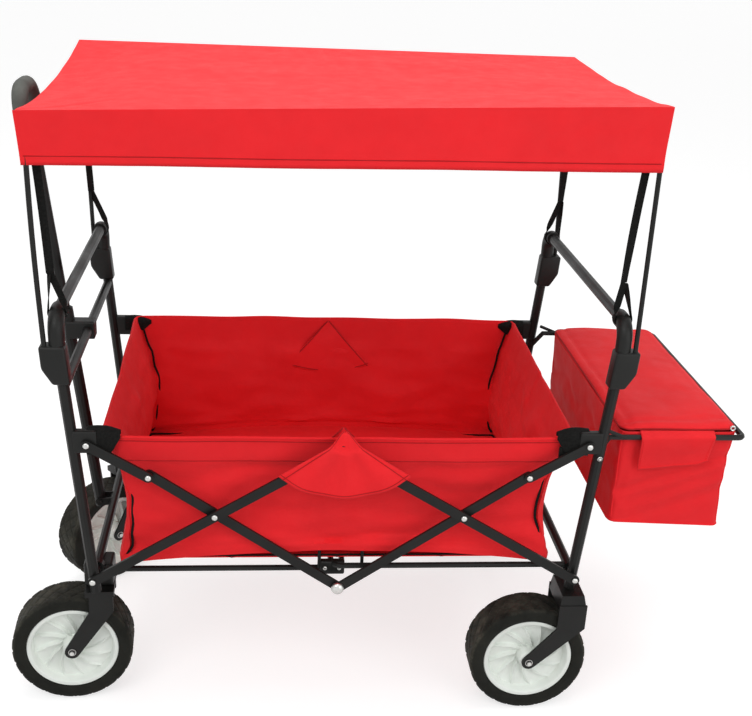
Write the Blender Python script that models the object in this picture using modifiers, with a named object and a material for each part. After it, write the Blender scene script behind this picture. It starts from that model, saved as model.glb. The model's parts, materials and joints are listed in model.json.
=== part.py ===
"""Folding wagon with a canopy and a rear bag, modelled piece by piece.

Metres, +Z up. The pull handle stands at -X, the bag hangs at +X, -Y is the near side.
Each side carries a double scissor, so the two end frames come together when it folds.
"""
import math
import bpy
import bmesh
from mathutils import Matrix, Vector

# Clearances
GAP = 0.0003
RUN = 0.0001
LAYER_GAP = 0.0005

# Scissor geometry, in the plane of a long side
PIVOT_X = 0.400
PIVOT_Z = 0.259
BAR_SLOPE = 0.606
BRACE_SLOPE = 0.688
CROSS_X = 0.202
LINK_X = 0.305
TOP_PIVOT_X = 0.398
TOP_PIVOT_Z = 0.506
CROSS_Z = PIVOT_Z + BAR_SLOPE * (PIVOT_X - CROSS_X)
CENTRE_LOW_Z = CROSS_Z - BRACE_SLOPE * CROSS_X
CENTRE_TOP_Z = CROSS_Z + BAR_SLOPE * CROSS_X
LINK_Z = CENTRE_LOW_Z + BRACE_SLOPE * LINK_X
BAR_WIDTH = 0.016
BAR_THICK = 0.005
RIVET_R = 0.003
RIVET_HEAD_R = 0.0055
RIVET_HEAD_H = 0.0022
SPACER_R = 0.0065
BOLT_HEAD_R = 0.0075
BOLT_HEAD_H = 0.0036
BOLT_BASE_R = 0.0094
BITE = 0.001

# End frames
POST_R = 0.009
POST_Y = 0.262
POST_FOOT_X = 0.397
POST_FOOT_Z = 0.234
POST_LEAN = 0.0865
POST_TOP_Z = 0.645
UPPER_BAR_Z = 0.712
UPPER_BAR_R = 0.009
MIDDLE_BAR_Z = 0.606
LOWER_BAR_Z = 0.264
LOWER_BAR_X = 0.398
LOWER_BAR_R = 0.008
SLEEVE_LOW_Z = 0.606
SLEEVE_HIGH_Z = 0.668
SLEEVE_LENGTH = 0.048
SLEEVE_THICK = 0.028
ELBOW_R = 0.0125
ELBOW_BEND = 0.026
ROD_R = 0.004
ROD_STEP_OUT = 0.018
ROD_SEAT = 0.012
ROD_INSET = 0.002
ROD_STRAIGHT = 0.006
ROD_WALL = 0.003
ROD_BOW = {"front": 0.0024, "rear": 0.0}
ROD_TOP_DROP = 0.0012
ELBOW_SEAT = 0.012
ELBOW_END = 0.012
CONNECTOR_HEIGHT = 0.038
CONNECTOR_BELOW = 0.016
CONNECTOR_REACH = 0.016
SMALL_ROUND = 0.003
SLEEVE_ROUND = 0.005
CROSSBAR_DROP = 0.008

# Canopy
CANOPY_X = {"front": 0.466, "rear": 0.455}
CANOPY_Y = 0.289
CANOPY_TOP_Z = 1.050
CANOPY_SKIRT = 0.096
CANOPY_WALL = 0.003
CANOPY_DIP = 0.036
CANOPY_HEM_DIP = 0.012

# Basket and floor
RIM_X = 0.379
RIM_Y = 0.2575
RIM_Z = 0.522
FLOOR_X = 0.362
FLOOR_Y = 0.249
FABRIC = 0.003
MAT_THICK = 0.008
RAIL_R = 0.005
RAIL_Y = {"rear": 0.246, "front": 0.2335}
RAIL_LAP = 0.010
RAIL_STEP = {"rear": 0.0055, "front": -0.0055}
BASKET_FLOOR_Z = LOWER_BAR_Z + RAIL_STEP["rear"] + RAIL_R + GAP
RAIL_CORNER = 0.018
RAIL_EYE_R = 0.0125
RAIL_EYE_WIDTH = 0.012
MAT_INSET = 0.002

# Wheels
WHEEL_R = 0.1015
TYRE_HALF = 0.032
TYRE_SHOULDER = 0.009
TYRE_LIP = 0.010
BEAD_R = 0.0775
RIM_HALF = 0.027
RIM_WALL = 0.005
WEB_THICK = 0.003
HUB_R = 0.014
HUB_HALF = 0.0345
BLADES = 10
BLADE_HALF = 0.019
BLADE_THICK = 0.0022
BLADE_SWEEP = math.radians(52)
AXLE_R = 0.004
AXLE_HEAD_R = 0.0056
AXLE_HEAD_H = 0.003
ARM_THICK = 0.0035
ARM_GAP = 0.0355
ARM_END_R = 0.0125
ARM_LAP = 0.002
FRONT_TRACK = 0.205
REAR_TRACK = 0.255
CASTER_TRAIL = 0.050
CASTER_CROWN_LOW = 0.2085
CASTER_CROWN_HIGH = 0.219
CASTER_STEM_R = 0.006
CASTER_STEM_TOP = 0.240
CASTER_HALF_X = 0.024
CASTER_SHOULDER_X = (-0.018, 0.022)
CASTER_SHOULDER_Z = 0.180
HOUSING_ROUND = 0.004
HOUSING_LOW = 0.2195
HOUSING_HALF_Y = 0.021
REAR_AXLE_X = 0.334
REAR_HOUSING_X = (0.376, 0.424)
REAR_HOUSING_TOP_X = (0.380, 0.418)
REAR_HOUSING_Z = (0.206, 0.233)
REAR_HOUSING_TAPER = 0.005
REAR_ARM_LAP = 0.010
REAR_ARM_SHOULDER_Z = 0.170
FRONT_SWIVEL = {"near": math.radians(3.5), "far": math.radians(40.0)}

# Pull handle
HANDLE_PIVOT_X = -0.4235
HANDLE_PIVOT_Z = 0.264
HANDLE_LEAN = math.radians(6.6)
HANDLE_TUBE_R = 0.0105
HANDLE_TUBE_LENGTH = 0.375
HANDLE_INNER_R = 0.0085
HANDLE_INNER_START = 0.300
HANDLE_INNER_END = 0.6625
HANDLE_EAR_THICK = 0.003
GRIP_R = 0.0125
GRIP_WIDTH = 0.104
GRIP_HEIGHT = 0.072
GRIP_CORNER = 0.034
GRIP_STEM_R = 0.0125
GRIP_STEM_LENGTH = 0.040
CLIP_HALF_Y = 0.014
CLIP_HALF_Z = 0.016
CLIP_WALL = 0.004
HANDLE_BORE_START = 0.022
HANDLE_FOOT = 0.012

# Rear bag
BAG_X = (0.4585, 0.657)
BAG_Y = 0.238
BAG_Z = (0.340, 0.516)
BAG_BOTTOM_INSET = 0.006
LID_THICK = 0.012
LID_OVERHANG = 0.002
BAG_FRAME_R = 0.005
BAG_FRAME_Z = 0.509
BAG_FRAME_OUT = 0.666
BAG_FRAME_CORNER = 0.010
BAG_RIVET_Z = 0.4825
BAG_FRAME_RISE_X = 0.020

SIDES = {"near": -1.0, "far": 1.0}
ENDS = {"front": -1.0, "rear": 1.0}


def clear_scene():
    """Remove whatever the file opened with."""
    for obj in list(bpy.data.objects):
        bpy.data.objects.remove(obj, do_unlink=True)


def new_collection(name):
    """Return a fresh collection linked to the scene."""
    collection = bpy.data.collections.new(name)
    bpy.context.scene.collection.children.link(collection)
    return collection


def make_finish(name, colour, roughness, metallic=0.0):
    """Return a plain material in one colour."""
    material = bpy.data.materials.new(name)
    material.use_nodes = True
    shader = material.node_tree.nodes["Principled BSDF"]
    shader.inputs["Base Color"].default_value = (*colour, 1.0)
    shader.inputs["Roughness"].default_value = roughness
    shader.inputs["Metallic"].default_value = metallic
    return material


def put(obj, collection):
    """Keep an object in one collection only."""
    for owner in list(obj.users_collection):
        owner.objects.unlink(obj)
    collection.objects.link(obj)
    return obj


def object_from_bmesh(name, bm, collection):
    """Turn a bmesh into an object."""
    mesh = bpy.data.meshes.new(name)
    bm.to_mesh(mesh)
    bm.free()
    obj = bpy.data.objects.new(name, mesh)
    return put(obj, collection)


def freeze(obj, name, collection, weld=0.00001):
    """Replace an object by the welded mesh of its evaluated form, placed in the world."""
    bpy.context.view_layer.update()
    graph = bpy.context.evaluated_depsgraph_get()
    mesh = bpy.data.meshes.new_from_object(obj.evaluated_get(graph))
    mesh.transform(obj.matrix_world)
    bm = bmesh.new()
    bm.from_mesh(mesh)
    bmesh.ops.remove_doubles(bm, verts=bm.verts, dist=weld)
    bmesh.ops.triangulate(bm, faces=[face for face in bm.faces if len(face.verts) > 4])
    bmesh.ops.recalc_face_normals(bm, faces=bm.faces)
    bpy.data.objects.remove(obj, do_unlink=True)
    return object_from_bmesh(name, bm, collection)


def tube(name, points, radius, collection, resolution=2, cyclic=False):
    """A round bar along a run of points."""
    data = bpy.data.curves.new(name, "CURVE")
    data.dimensions = "3D"
    data.bevel_depth = radius
    data.bevel_resolution = resolution
    data.use_fill_caps = not cyclic
    spline = data.splines.new("POLY")
    spline.points.add(len(points) - 1)
    for target, point in zip(spline.points, points):
        target.co = (*point, 1.0)
    spline.use_cyclic_u = cyclic
    return freeze(put(bpy.data.objects.new(name, data), collection), name, collection)


def plate(name, outlines, thick, y, collection):
    """A flat plate in the XZ plane from closed outlines, the later ones being holes."""
    data = bpy.data.curves.new(name, "CURVE")
    data.dimensions = "2D"
    data.fill_mode = "BOTH"
    data.extrude = thick / 2
    for outline in outlines:
        spline = data.splines.new("POLY")
        spline.points.add(len(outline) - 1)
        for target, (px, pz) in zip(spline.points, outline):
            target.co = (px, pz, 0.0, 1.0)
        spline.use_cyclic_u = True
    obj = put(bpy.data.objects.new(name, data), collection)
    obj.rotation_euler = (math.pi / 2, 0.0, 0.0)
    obj.location = (0.0, y, 0.0)
    return freeze(obj, name, collection)


def arc(centre, radius, start, end, steps):
    """Points on an arc in the XZ plane."""
    return [
        (centre[0] + radius * math.cos(start + (end - start) * i / steps),
         centre[1] + radius * math.sin(start + (end - start) * i / steps))
        for i in range(steps + 1)
    ]


def circle(centre, radius, steps=16):
    """A closed outline of a round hole."""
    return arc(centre, radius, 0.0, 2 * math.pi, steps)[:-1]


def stadium(start, end, half, steps=6):
    """The outline of a bar with round ends."""
    angle = math.atan2(end[1] - start[1], end[0] - start[0])
    quarter = math.pi / 2
    return (arc(end, half, angle - quarter, angle + quarter, steps)
            + arc(start, half, angle + quarter, angle + 3 * quarter, steps))


def turned(name, profile, collection, at, axis="Z", steps=16):
    """A turned piece: profile is (radius, height) from the top round the outside."""
    mesh = bpy.data.meshes.new(name)
    verts = [(radius, 0.0, height) for radius, height in profile]
    edges = [(i, i + 1) for i in range(len(profile) - 1)]
    mesh.from_pydata(verts, edges, [])
    obj = put(bpy.data.objects.new(name, mesh), collection)
    screw = obj.modifiers.new("turn", "SCREW")
    screw.steps = steps
    screw.render_steps = steps
    screw.use_merge_vertices = True
    screw.merge_threshold = 0.00001
    turns = {"Z": Matrix(), "Y": Matrix.Rotation(-math.pi / 2, 4, "X"),
             "X": Matrix.Rotation(math.pi / 2, 4, "Y")}
    obj.matrix_world = Matrix.Translation(at) @ turns[axis]
    return freeze(obj, name, collection)


def pin(name, at, side, steps_out, collection, steps=8):
    """A stepped round pin along Y: (reach, radius) pairs from the inner end outwards."""
    profile = [(0.0, steps_out[-1][0])]
    for (low, _), (high, radius) in reversed(list(zip(steps_out, steps_out[1:]))):
        profile.append((radius, high))
        profile.append((radius, low))
    profile.append((0.0, steps_out[0][0]))
    tidy = [profile[0]]
    for point in profile[1:]:
        if point != tidy[-1]:
            tidy.append(point)
    if side < 0:
        tidy = [(radius, -height) for radius, height in reversed(tidy)]
    return turned(name, tidy, collection, (at[0], 0.0, at[1]), "Y", steps)


def block(name, low, high, collection, bevel=0.0):
    """A box between two corners, with rounded edges if asked."""
    bm = bmesh.new()
    bmesh.ops.create_cube(bm, size=1.0)
    size = [high[i] - low[i] for i in range(3)]
    middle = [(high[i] + low[i]) / 2 for i in range(3)]
    bmesh.ops.scale(bm, vec=size, verts=bm.verts)
    bmesh.ops.translate(bm, vec=middle, verts=bm.verts)
    if bevel:
        bmesh.ops.bevel(bm, geom=bm.edges[:], offset=bevel, segments=2, profile=0.5, affect="EDGES")
    return object_from_bmesh(name, bm, collection)


def tapered_box(name, bottom, top, low_z, high_z, collection):
    """A box whose bottom and top rectangles differ: (x0, x1, half_y) each."""
    bm = bmesh.new()
    bmesh.ops.create_cube(bm, size=1.0)
    for vert in bm.verts:
        x0, x1, half_y = top if vert.co.z > 0 else bottom
        vert.co = Vector((x1 if vert.co.x > 0 else x0, math.copysign(half_y, vert.co.y),
                          high_z if vert.co.z > 0 else low_z))
    return object_from_bmesh(name, bm, collection)


def combine(obj, other, operation):
    """Join or cut with another mesh, then drop that mesh."""
    modifier = obj.modifiers.new(operation.lower(), "BOOLEAN")
    modifier.operation = operation
    modifier.solver = "EXACT"
    modifier.object = other
    name = obj.name
    collection = obj.users_collection[0]
    obj.name = name + "_raw"
    result = freeze(obj, name, collection, 0.0000005)
    bpy.data.objects.remove(other, do_unlink=True)
    return result


def gather(name, pieces, collection):
    """Put separate meshes into one, as they stand."""
    bm = bmesh.new()
    for piece in pieces:
        bm.from_mesh(piece.data)
        bpy.data.objects.remove(piece, do_unlink=True)
    return object_from_bmesh(name, bm, collection)


def join(obj, *others):
    """Unite meshes one after another."""
    for other in others:
        obj = combine(obj, other, "UNION")
    return obj


def cut(obj, *cutters):
    """Cut meshes away one after another."""
    for cutter in cutters:
        obj = combine(obj, cutter, "DIFFERENCE")
    return obj


class Wagon:
    """The collections, materials and joint axes that every piece shares."""

    def __init__(self):
        self.parts = new_collection("folding_wagon")
        self.tools = new_collection("cutters")
        self.finish = {
            "steel": make_finish("black_steel", (0.018, 0.018, 0.020), 0.38, 0.6),
            "plastic": make_finish("black_plastic", (0.022, 0.022, 0.022), 0.50),
            "rubber": make_finish("tyre_rubber", (0.026, 0.025, 0.023), 0.80),
            "white": make_finish("white_plastic", (0.80, 0.82, 0.78), 0.40),
            "red": make_finish("red_fabric", (0.72, 0.012, 0.016), 0.85),
            "foam": make_finish("grip_foam", (0.060, 0.062, 0.058), 0.85),
        }
        self.root = self.axis("wagon", (0.0, 0.0, 0.0), None)

    def axis(self, name, at, parent):
        """An empty on a joint's axis."""
        empty = bpy.data.objects.new(name + "_axis", None)
        empty.empty_display_size = 0.02
        put(empty, self.parts)
        empty["place"] = at
        if parent is None:
            empty.location = at
        else:
            empty.parent = parent
            origin = parent["place"]
            empty.location = [at[i] - origin[i] for i in range(3)]
        return empty

    def add(self, obj, parent, finish):
        """Give a finished piece its material and the axis it moves with."""
        put(obj, self.parts)
        obj.data.materials.clear()
        obj.data.materials.append(self.finish[finish])
        place = Vector(parent["place"])
        obj.data.transform(Matrix.Translation(-place))
        obj.parent = parent
        obj.data.shade_smooth()
        obj.data.set_sharp_from_angle(angle=math.radians(35))
        return obj


def layer_y(number):
    """The middle of a bar layer: 1 is the outermost, 4 the innermost."""
    first = POST_Y + POST_R + LAYER_GAP + BAR_THICK / 2
    return first + (2 - number) * (BAR_THICK + LAYER_GAP)


def layer_faces(number):
    """The inner and outer faces of a bar layer."""
    return layer_y(number) - BAR_THICK / 2, layer_y(number) + BAR_THICK / 2


def post_x(z):
    """Where a post's axis lies at a height."""
    return POST_FOOT_X + (z - POST_FOOT_Z) * POST_LEAN


def outer_head(face, radius=RIVET_HEAD_R, height=RIVET_HEAD_H):
    """The steps of a rivet head on an outer face."""
    return [(face + height * 0.55, radius), (face + height, radius * 0.62)]


def build_post(w, end, side, axis):
    """A leaning post with its low pivot pin and its foot."""
    sx, sy = ENDS[end], SIDES[side]
    name = f"{end}_post_{side}"
    low = (sx * post_x(POST_FOOT_Z), sy * POST_Y, POST_FOOT_Z)
    high = (sx * post_x(POST_TOP_Z), sy * POST_Y, POST_TOP_Z)
    post = tube(name, [low, high], POST_R, w.tools, 3)
    layer = 1 if end == "rear" else 2
    inner, outer = layer_faces(layer)
    steps = [(POST_Y, SPACER_R), (inner - GAP, SPACER_R), (outer + GAP, RIVET_R)]
    steps += outer_head(outer + GAP)
    low_pin = pin("low_pin", (sx * PIVOT_X, PIVOT_Z), sy, steps, w.tools)
    pieces = [low_pin]
    if end == "rear":
        face = POST_Y + POST_R - BITE
        bag_pin = [(POST_Y, RIVET_R), (face, RIVET_R)] + outer_head(face, height=RIVET_HEAD_H + BITE)
        pieces.append(pin("bag_pin", (sx * post_x(BAG_RIVET_Z), BAG_RIVET_Z), sy, bag_pin, w.tools))
    w.add(join(post, *pieces), axis, "steel")


def build_connector(w, end, side, axis):
    """The plastic saddle on a post that carries the short link and the basket corner."""
    sx, sy = ENDS[end], SIDES[side]
    inner, outer = layer_faces(2)
    centre_x = post_x(TOP_PIVOT_Z)
    face = inner - GAP
    xs = sorted((sx * (TOP_PIVOT_X - CONNECTOR_REACH), sx * centre_x))
    ys = sorted((sy * (POST_Y - POST_R * 0.6), sy * face))
    low_z = TOP_PIVOT_Z - CONNECTOR_BELOW
    body = block(f"{end}_connector_{side}", (xs[0], ys[0], low_z),
                 (xs[1], ys[1], low_z + CONNECTOR_HEIGHT), w.tools, SMALL_ROUND)
    ends = (low_z - CONNECTOR_HEIGHT, low_z + 2 * CONNECTOR_HEIGHT)
    hole = tube("post_hole", [(sx * post_x(z), sy * POST_Y, z) for z in ends], POST_R + GAP, w.tools, 3)
    steps = [(POST_Y, RIVET_R), (outer + GAP, RIVET_R)] + outer_head(outer + GAP)
    body = join(body, pin("top_pin", (sx * TOP_PIVOT_X, TOP_PIVOT_Z), sy, steps, w.tools))
    w.add(cut(body, hole), axis, "plastic")


def build_socket(w, end, side, axis):
    """The sleeve over a post's top, with the canopy rod's hole and the crossbar elbow."""
    sx, sy = ENDS[end], SIDES[side]
    mid_x = post_x((SLEEVE_LOW_Z + SLEEVE_HIGH_Z) / 2) + ROD_STEP_OUT / 2 - BITE
    half = SLEEVE_LENGTH / 2
    xs = sorted((sx * (mid_x - half), sx * (mid_x + half)))
    body = block(f"{end}_socket_{side}",
                 (xs[0], sy * POST_Y - SLEEVE_THICK / 2, SLEEVE_LOW_Z),
                 (xs[1], sy * POST_Y + SLEEVE_THICK / 2, SLEEVE_HIGH_Z), w.tools, SLEEVE_ROUND)
    x = sx * post_x(SLEEVE_HIGH_Z)
    start = (x, sy * POST_Y, SLEEVE_HIGH_Z - ELBOW_SEAT)
    route = [start]
    centre_y = POST_Y - ELBOW_BEND
    for i in range(7):
        angle = math.pi / 2 * i / 6
        route.append((x, sy * (centre_y + ELBOW_BEND * math.cos(angle)),
                      UPPER_BAR_Z - ELBOW_BEND + ELBOW_BEND * math.sin(angle)))
    route.append((x, sy * (centre_y - ELBOW_END), UPPER_BAR_Z))
    elbow = tube("elbow", route, ELBOW_R, w.tools, 3)
    below = SLEEVE_LOW_Z - POST_R
    post_hole = tube("post_hole", [(sx * post_x(below), sy * POST_Y, below),
                                   (sx * post_x(POST_TOP_Z), sy * POST_Y, POST_TOP_Z + GAP)],
                     POST_R + GAP, w.tools, 3)
    rod_x, rod_y = rod_foot()
    rod_hole = tube("rod_hole", [(sx * rod_x, sy * rod_y, POST_TOP_Z - ROD_SEAT),
                                 (sx * rod_x, sy * rod_y, SLEEVE_HIGH_Z + ROD_R)],
                    ROD_R + GAP, w.tools)
    body = join(body, elbow)
    w.add(cut(body, post_hole, rod_hole), axis, "plastic")


def rod_foot():
    """Where a canopy rod stands in its socket."""
    return post_x(SLEEVE_HIGH_Z) + ROD_STEP_OUT, POST_Y + SLEEVE_THICK / 2 - ROD_R - ROD_WALL


def build_rod(w, end, side, axis):
    """A canopy rod, slightly bowed along the wagon."""
    sx, sy = ENDS[end], SIDES[side]
    foot_x, foot_y = rod_foot()
    low_z = POST_TOP_Z - ROD_SEAT + GAP
    high_z = CANOPY_TOP_Z - CANOPY_WALL - GAP
    high_z -= CANOPY_DIP if (end, side) == ("front", "near") else ROD_TOP_DROP
    top_x = CANOPY_X[end] - CANOPY_WALL - ROD_R - ROD_INSET
    top_y = CANOPY_Y - CANOPY_WALL - ROD_R - ROD_INSET
    straight_z = SLEEVE_HIGH_Z + ROD_STRAIGHT
    points = [(sx * foot_x, sy * foot_y, low_z), (sx * foot_x, sy * foot_y, straight_z)]
    for i in range(1, 9):
        t = i / 8
        bow = ROD_BOW[end] * math.sin(math.pi * t)
        points.append((sx * (foot_x + (top_x - foot_x) * t + bow),
                       sy * (foot_y + (top_y - foot_y) * t), straight_z + (high_z - straight_z) * t))
    w.add(tube(f"{end}_canopy_rod_{side}", points, ROD_R, w.tools), axis, "steel")


def build_crossbars(w, end, axis):
    """The straight tubes across one end frame."""
    sx = ENDS[end]
    x = sx * post_x(SLEEVE_HIGH_Z)
    half = POST_Y - ELBOW_BEND - ELBOW_END - GAP
    upper = tube(f"{end}_upper_crossbar", [(x, -half, UPPER_BAR_Z), (x, half, UPPER_BAR_Z)],
                 UPPER_BAR_R, w.tools, 3)
    w.add(upper, axis, "steel")
    half = POST_Y - POST_R - GAP
    x = sx * LOWER_BAR_X
    lower = tube(f"{end}_lower_crossbar", [(x, -half, LOWER_BAR_Z), (x, half, LOWER_BAR_Z)],
                 LOWER_BAR_R, w.tools, 3)
    if end == "front":
        ears = []
        for sy in SIDES.values():
            y = sy * (HANDLE_TUBE_R + LAYER_GAP + HANDLE_EAR_THICK / 2)
            shape = stadium((HANDLE_PIVOT_X, HANDLE_PIVOT_Z), (x, LOWER_BAR_Z), LOWER_BAR_R - BITE)
            ears.append(plate("ear", [shape], HANDLE_EAR_THICK, y, w.tools))
        reach = HANDLE_TUBE_R + LAYER_GAP + HANDLE_EAR_THICK
        steps = [(-reach - RIVET_HEAD_H, RIVET_HEAD_R), (-reach + BITE, RIVET_HEAD_R),
                 (reach - BITE, RIVET_R), (reach + RIVET_HEAD_H, RIVET_HEAD_R)]
        ears.append(pin("handle_pin", (HANDLE_PIVOT_X, HANDLE_PIVOT_Z), 1.0, steps, w.tools))
        lower = join(lower, *ears)
        z = MIDDLE_BAR_Z - CROSSBAR_DROP
        ends = [(-post_x(z), -half, z), (-post_x(z), half, z)]
        middle = tube("front_middle_crossbar", ends, LOWER_BAR_R, w.tools, 3)
        w.add(middle, axis, "steel")
    w.add(lower, axis, "steel")


def build_bar(w, end, side, axis):
    """The long scissor bar from the low pivot to the top centre."""
    sx, sy = ENDS[end], SIDES[side]
    layer = 1 if end == "rear" else 2
    brace_layer = layer + 2
    low = (sx * PIVOT_X, PIVOT_Z)
    top = (0.0, CENTRE_TOP_Z)
    cross = (sx * CROSS_X, CROSS_Z)
    hole = RIVET_R + RUN
    outlines = [stadium(low, top, BAR_WIDTH / 2), circle(low, hole)]
    if end == "front":
        outlines.append(circle(top, hole))
    bar = plate(f"{end}_bar_{side}", outlines, BAR_THICK, sy * layer_y(layer), w.tools)
    inner, outer = layer_faces(layer)
    brace_inner, brace_outer = layer_faces(brace_layer)
    steps = [(brace_inner - GAP - RIVET_HEAD_H, RIVET_HEAD_R), (brace_inner - GAP, RIVET_HEAD_R),
             (brace_outer + GAP, RIVET_R), (outer - BITE, SPACER_R), (outer, RIVET_HEAD_R)]
    steps += outer_head(outer)
    pieces = [pin("cross_pin", cross, sy, steps, w.tools)]
    if end == "rear":
        mate_inner = layer_faces(2)[0]
        steps = [(mate_inner - GAP - RIVET_HEAD_H, RIVET_HEAD_R), (mate_inner - GAP, RIVET_HEAD_R),
                 (outer - BITE, RIVET_R), (outer, RIVET_HEAD_R)]
        steps += outer_head(outer)
        pieces.append(pin("top_pin", top, sy, steps, w.tools))
    w.add(join(bar, gather("pins", pieces, w.tools)), axis, "steel")


def build_brace(w, end, side, axis):
    """The crossing bar from the low centre up to the short link."""
    sx, sy = ENDS[end], SIDES[side]
    layer = 3 if end == "rear" else 4
    low = (0.0, CENTRE_LOW_Z)
    high = (sx * LINK_X, LINK_Z)
    cross = (sx * CROSS_X, CROSS_Z)
    outlines = [stadium(low, high, BAR_WIDTH / 2), circle(cross, RIVET_R + RUN)]
    brace = plate(f"{end}_brace_{side}", outlines, BAR_THICK, sy * layer_y(layer), w.tools)
    if end == "rear":
        outer = layer_faces(layer)[1]
        steps = [(outer - BITE, BOLT_BASE_R), (outer + BITE, BOLT_BASE_R),
                 (outer + BOLT_HEAD_H, BOLT_HEAD_R), (outer + BOLT_HEAD_H * 1.5, BOLT_HEAD_R * 0.6)]
        brace = join(brace, pin("centre_bolt", low, sy, steps, w.tools, 6))
    w.add(brace, axis, "steel")


def build_link(w, end, side, axis):
    """The short link from the connector to the brace."""
    sx, sy = ENDS[end], SIDES[side]
    top = (sx * TOP_PIVOT_X, TOP_PIVOT_Z)
    low = (sx * LINK_X, LINK_Z)
    outlines = [stadium(top, low, BAR_WIDTH / 2), circle(top, RIVET_R + RUN)]
    link = plate(f"{end}_link_{side}", outlines, BAR_THICK, sy * layer_y(2), w.tools)
    outer = layer_faces(2)[1]
    steps = [(outer - BITE, RIVET_HEAD_R), (outer, RIVET_HEAD_R)] + outer_head(outer)
    if end == "front":
        steps = [(layer_faces(4)[1] + GAP, SPACER_R), (outer - BITE, SPACER_R)] + steps[1:]
    w.add(join(link, pin("link_pin", low, sy, steps, w.tools)), axis, "steel")


def build_floor_frame(w, end, axis):
    """The half frame under the floor: two rails and a cross tube, looped on the low crossbar."""
    sx = ENDS[end]
    y = RAIL_Y[end]
    x = sx * LOWER_BAR_X
    tip = -sx * RAIL_LAP
    z = LOWER_BAR_Z + RAIL_STEP[end]
    corner = RAIL_CORNER
    route = [(x - sx * LOWER_BAR_R * 1.2, -y, z), (tip + sx * corner, -y, z)]
    for i in range(1, 4):
        angle = math.pi / 2 * i / 4
        route.append((tip + sx * corner * (1 - math.sin(angle)), -y + corner * (1 - math.cos(angle)), z))
    route += [(tip, -y + corner, z)]
    route += [(px, -py, pz) for px, py, pz in reversed(route)]
    frame = tube(f"{end}_floor_frame", route, RAIL_R, w.tools)
    eyes = []
    for sy in SIDES.values():
        outlines = [circle((x, LOWER_BAR_Z), RAIL_EYE_R), circle((x, LOWER_BAR_Z), LOWER_BAR_R + RUN, 32)]
        eyes.append(plate("eye", outlines, RAIL_EYE_WIDTH, sy * y, w.tools))
    w.add(join(frame, *eyes), axis, "steel")


def build_basket(w, axis):
    """The fabric tub: four sloping walls and a floor, open at the top."""
    outer = tapered_box("basket", (-FLOOR_X, FLOOR_X, FLOOR_Y), (-RIM_X, RIM_X, RIM_Y),
                        BASKET_FLOOR_Z, RIM_Z, w.tools)
    slope_x = (RIM_X - FLOOR_X) / (RIM_Z - BASKET_FLOOR_Z)
    slope_y = (RIM_Y - FLOOR_Y) / (RIM_Z - BASKET_FLOOR_Z)
    over = MAT_THICK
    low = (FLOOR_X + slope_x * FABRIC - FABRIC, FLOOR_Y + slope_y * FABRIC - FABRIC)
    high = (RIM_X + slope_x * over - FABRIC, RIM_Y + slope_y * over - FABRIC)
    inner = tapered_box("hollow", (-low[0], low[0], low[1]), (-high[0], high[0], high[1]),
                        BASKET_FLOOR_Z + FABRIC, RIM_Z + over, w.tools)
    w.add(cut(outer, inner), axis, "red")
    z = BASKET_FLOOR_Z + FABRIC + GAP
    mat_x, mat_y = low[0] - MAT_INSET, low[1] - MAT_INSET
    mat = block("floor_mat", (-mat_x, -mat_y, z), (mat_x, mat_y, z + MAT_THICK), w.tools, MAT_INSET)
    w.add(mat, axis, "red")


def dipped_block(name, inset, low_z, high_z, collection):
    """The canopy's outline as a block whose near front corner hangs lower."""
    x0, x1 = -CANOPY_X["front"] + inset, CANOPY_X["rear"] - inset
    y = CANOPY_Y - inset
    obj = block(name, (x0, -y, low_z), (x1, y, high_z), collection)
    bm = bmesh.new()
    bm.from_mesh(obj.data)
    for vert in bm.verts:
        if vert.co.x < 0 and vert.co.y < 0:
            vert.co.z -= CANOPY_DIP if vert.co.z > (low_z + high_z) / 2 else CANOPY_HEM_DIP
    bmesh.ops.triangulate(bm, faces=bm.faces[:], quad_method="FIXED")
    bm.to_mesh(obj.data)
    bm.free()
    return obj


def build_canopy(w, axis):
    """The roof sheet with its skirt, open below."""
    low = CANOPY_TOP_Z - CANOPY_SKIRT
    outer = dipped_block("canopy", 0.0, low, CANOPY_TOP_Z, w.tools)
    inner = dipped_block("hollow", CANOPY_WALL, low - CANOPY_SKIRT / 2, CANOPY_TOP_Z - CANOPY_WALL, w.tools)
    w.add(cut(outer, inner), axis, "red")


def wheel_place(matrix, obj):
    """Move a piece built about the wheel's own axis to where the wheel stands."""
    obj.data.transform(matrix)
    return obj


def build_wheel(w, tag, matrix, axis):
    """A wide tyre and a plastic rim with swept blades, turned about Y."""
    bend = TYRE_SHOULDER * (1 - math.sqrt(0.5))
    side = [(BEAD_R + GAP, RIM_HALF + BITE), (BEAD_R + TYRE_LIP, TYRE_HALF),
            (WHEEL_R - TYRE_SHOULDER, TYRE_HALF), (WHEEL_R - bend, TYRE_HALF - bend),
            (WHEEL_R, TYRE_HALF - TYRE_SHOULDER)]
    tyre_profile = side + [(radius, -height) for radius, height in reversed(side)] + side[:1]
    tyre = turned(f"{tag}_tyre", tyre_profile, w.tools, (0.0, 0.0, 0.0), "Y", 32)
    w.add(wheel_place(matrix, tyre), axis, "rubber")
    inner = BEAD_R - RIM_WALL
    web = WEB_THICK / 2
    bore = AXLE_R + RUN
    rim_profile = [
        (bore, HUB_HALF), (HUB_R, HUB_HALF), (HUB_R, web), (inner, web), (inner, RIM_HALF),
        (BEAD_R, RIM_HALF), (BEAD_R, -RIM_HALF), (inner, -RIM_HALF), (inner, -web), (HUB_R, -web),
        (HUB_R, -HUB_HALF), (bore, -HUB_HALF), (bore, HUB_HALF),
    ]
    rim = turned(f"{tag}_rim", rim_profile, w.tools, (0.0, 0.0, 0.0), "Y", 32)
    rim = join(rim, build_blades(w, inner))
    w.add(wheel_place(matrix, rim), axis, "white")


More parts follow.
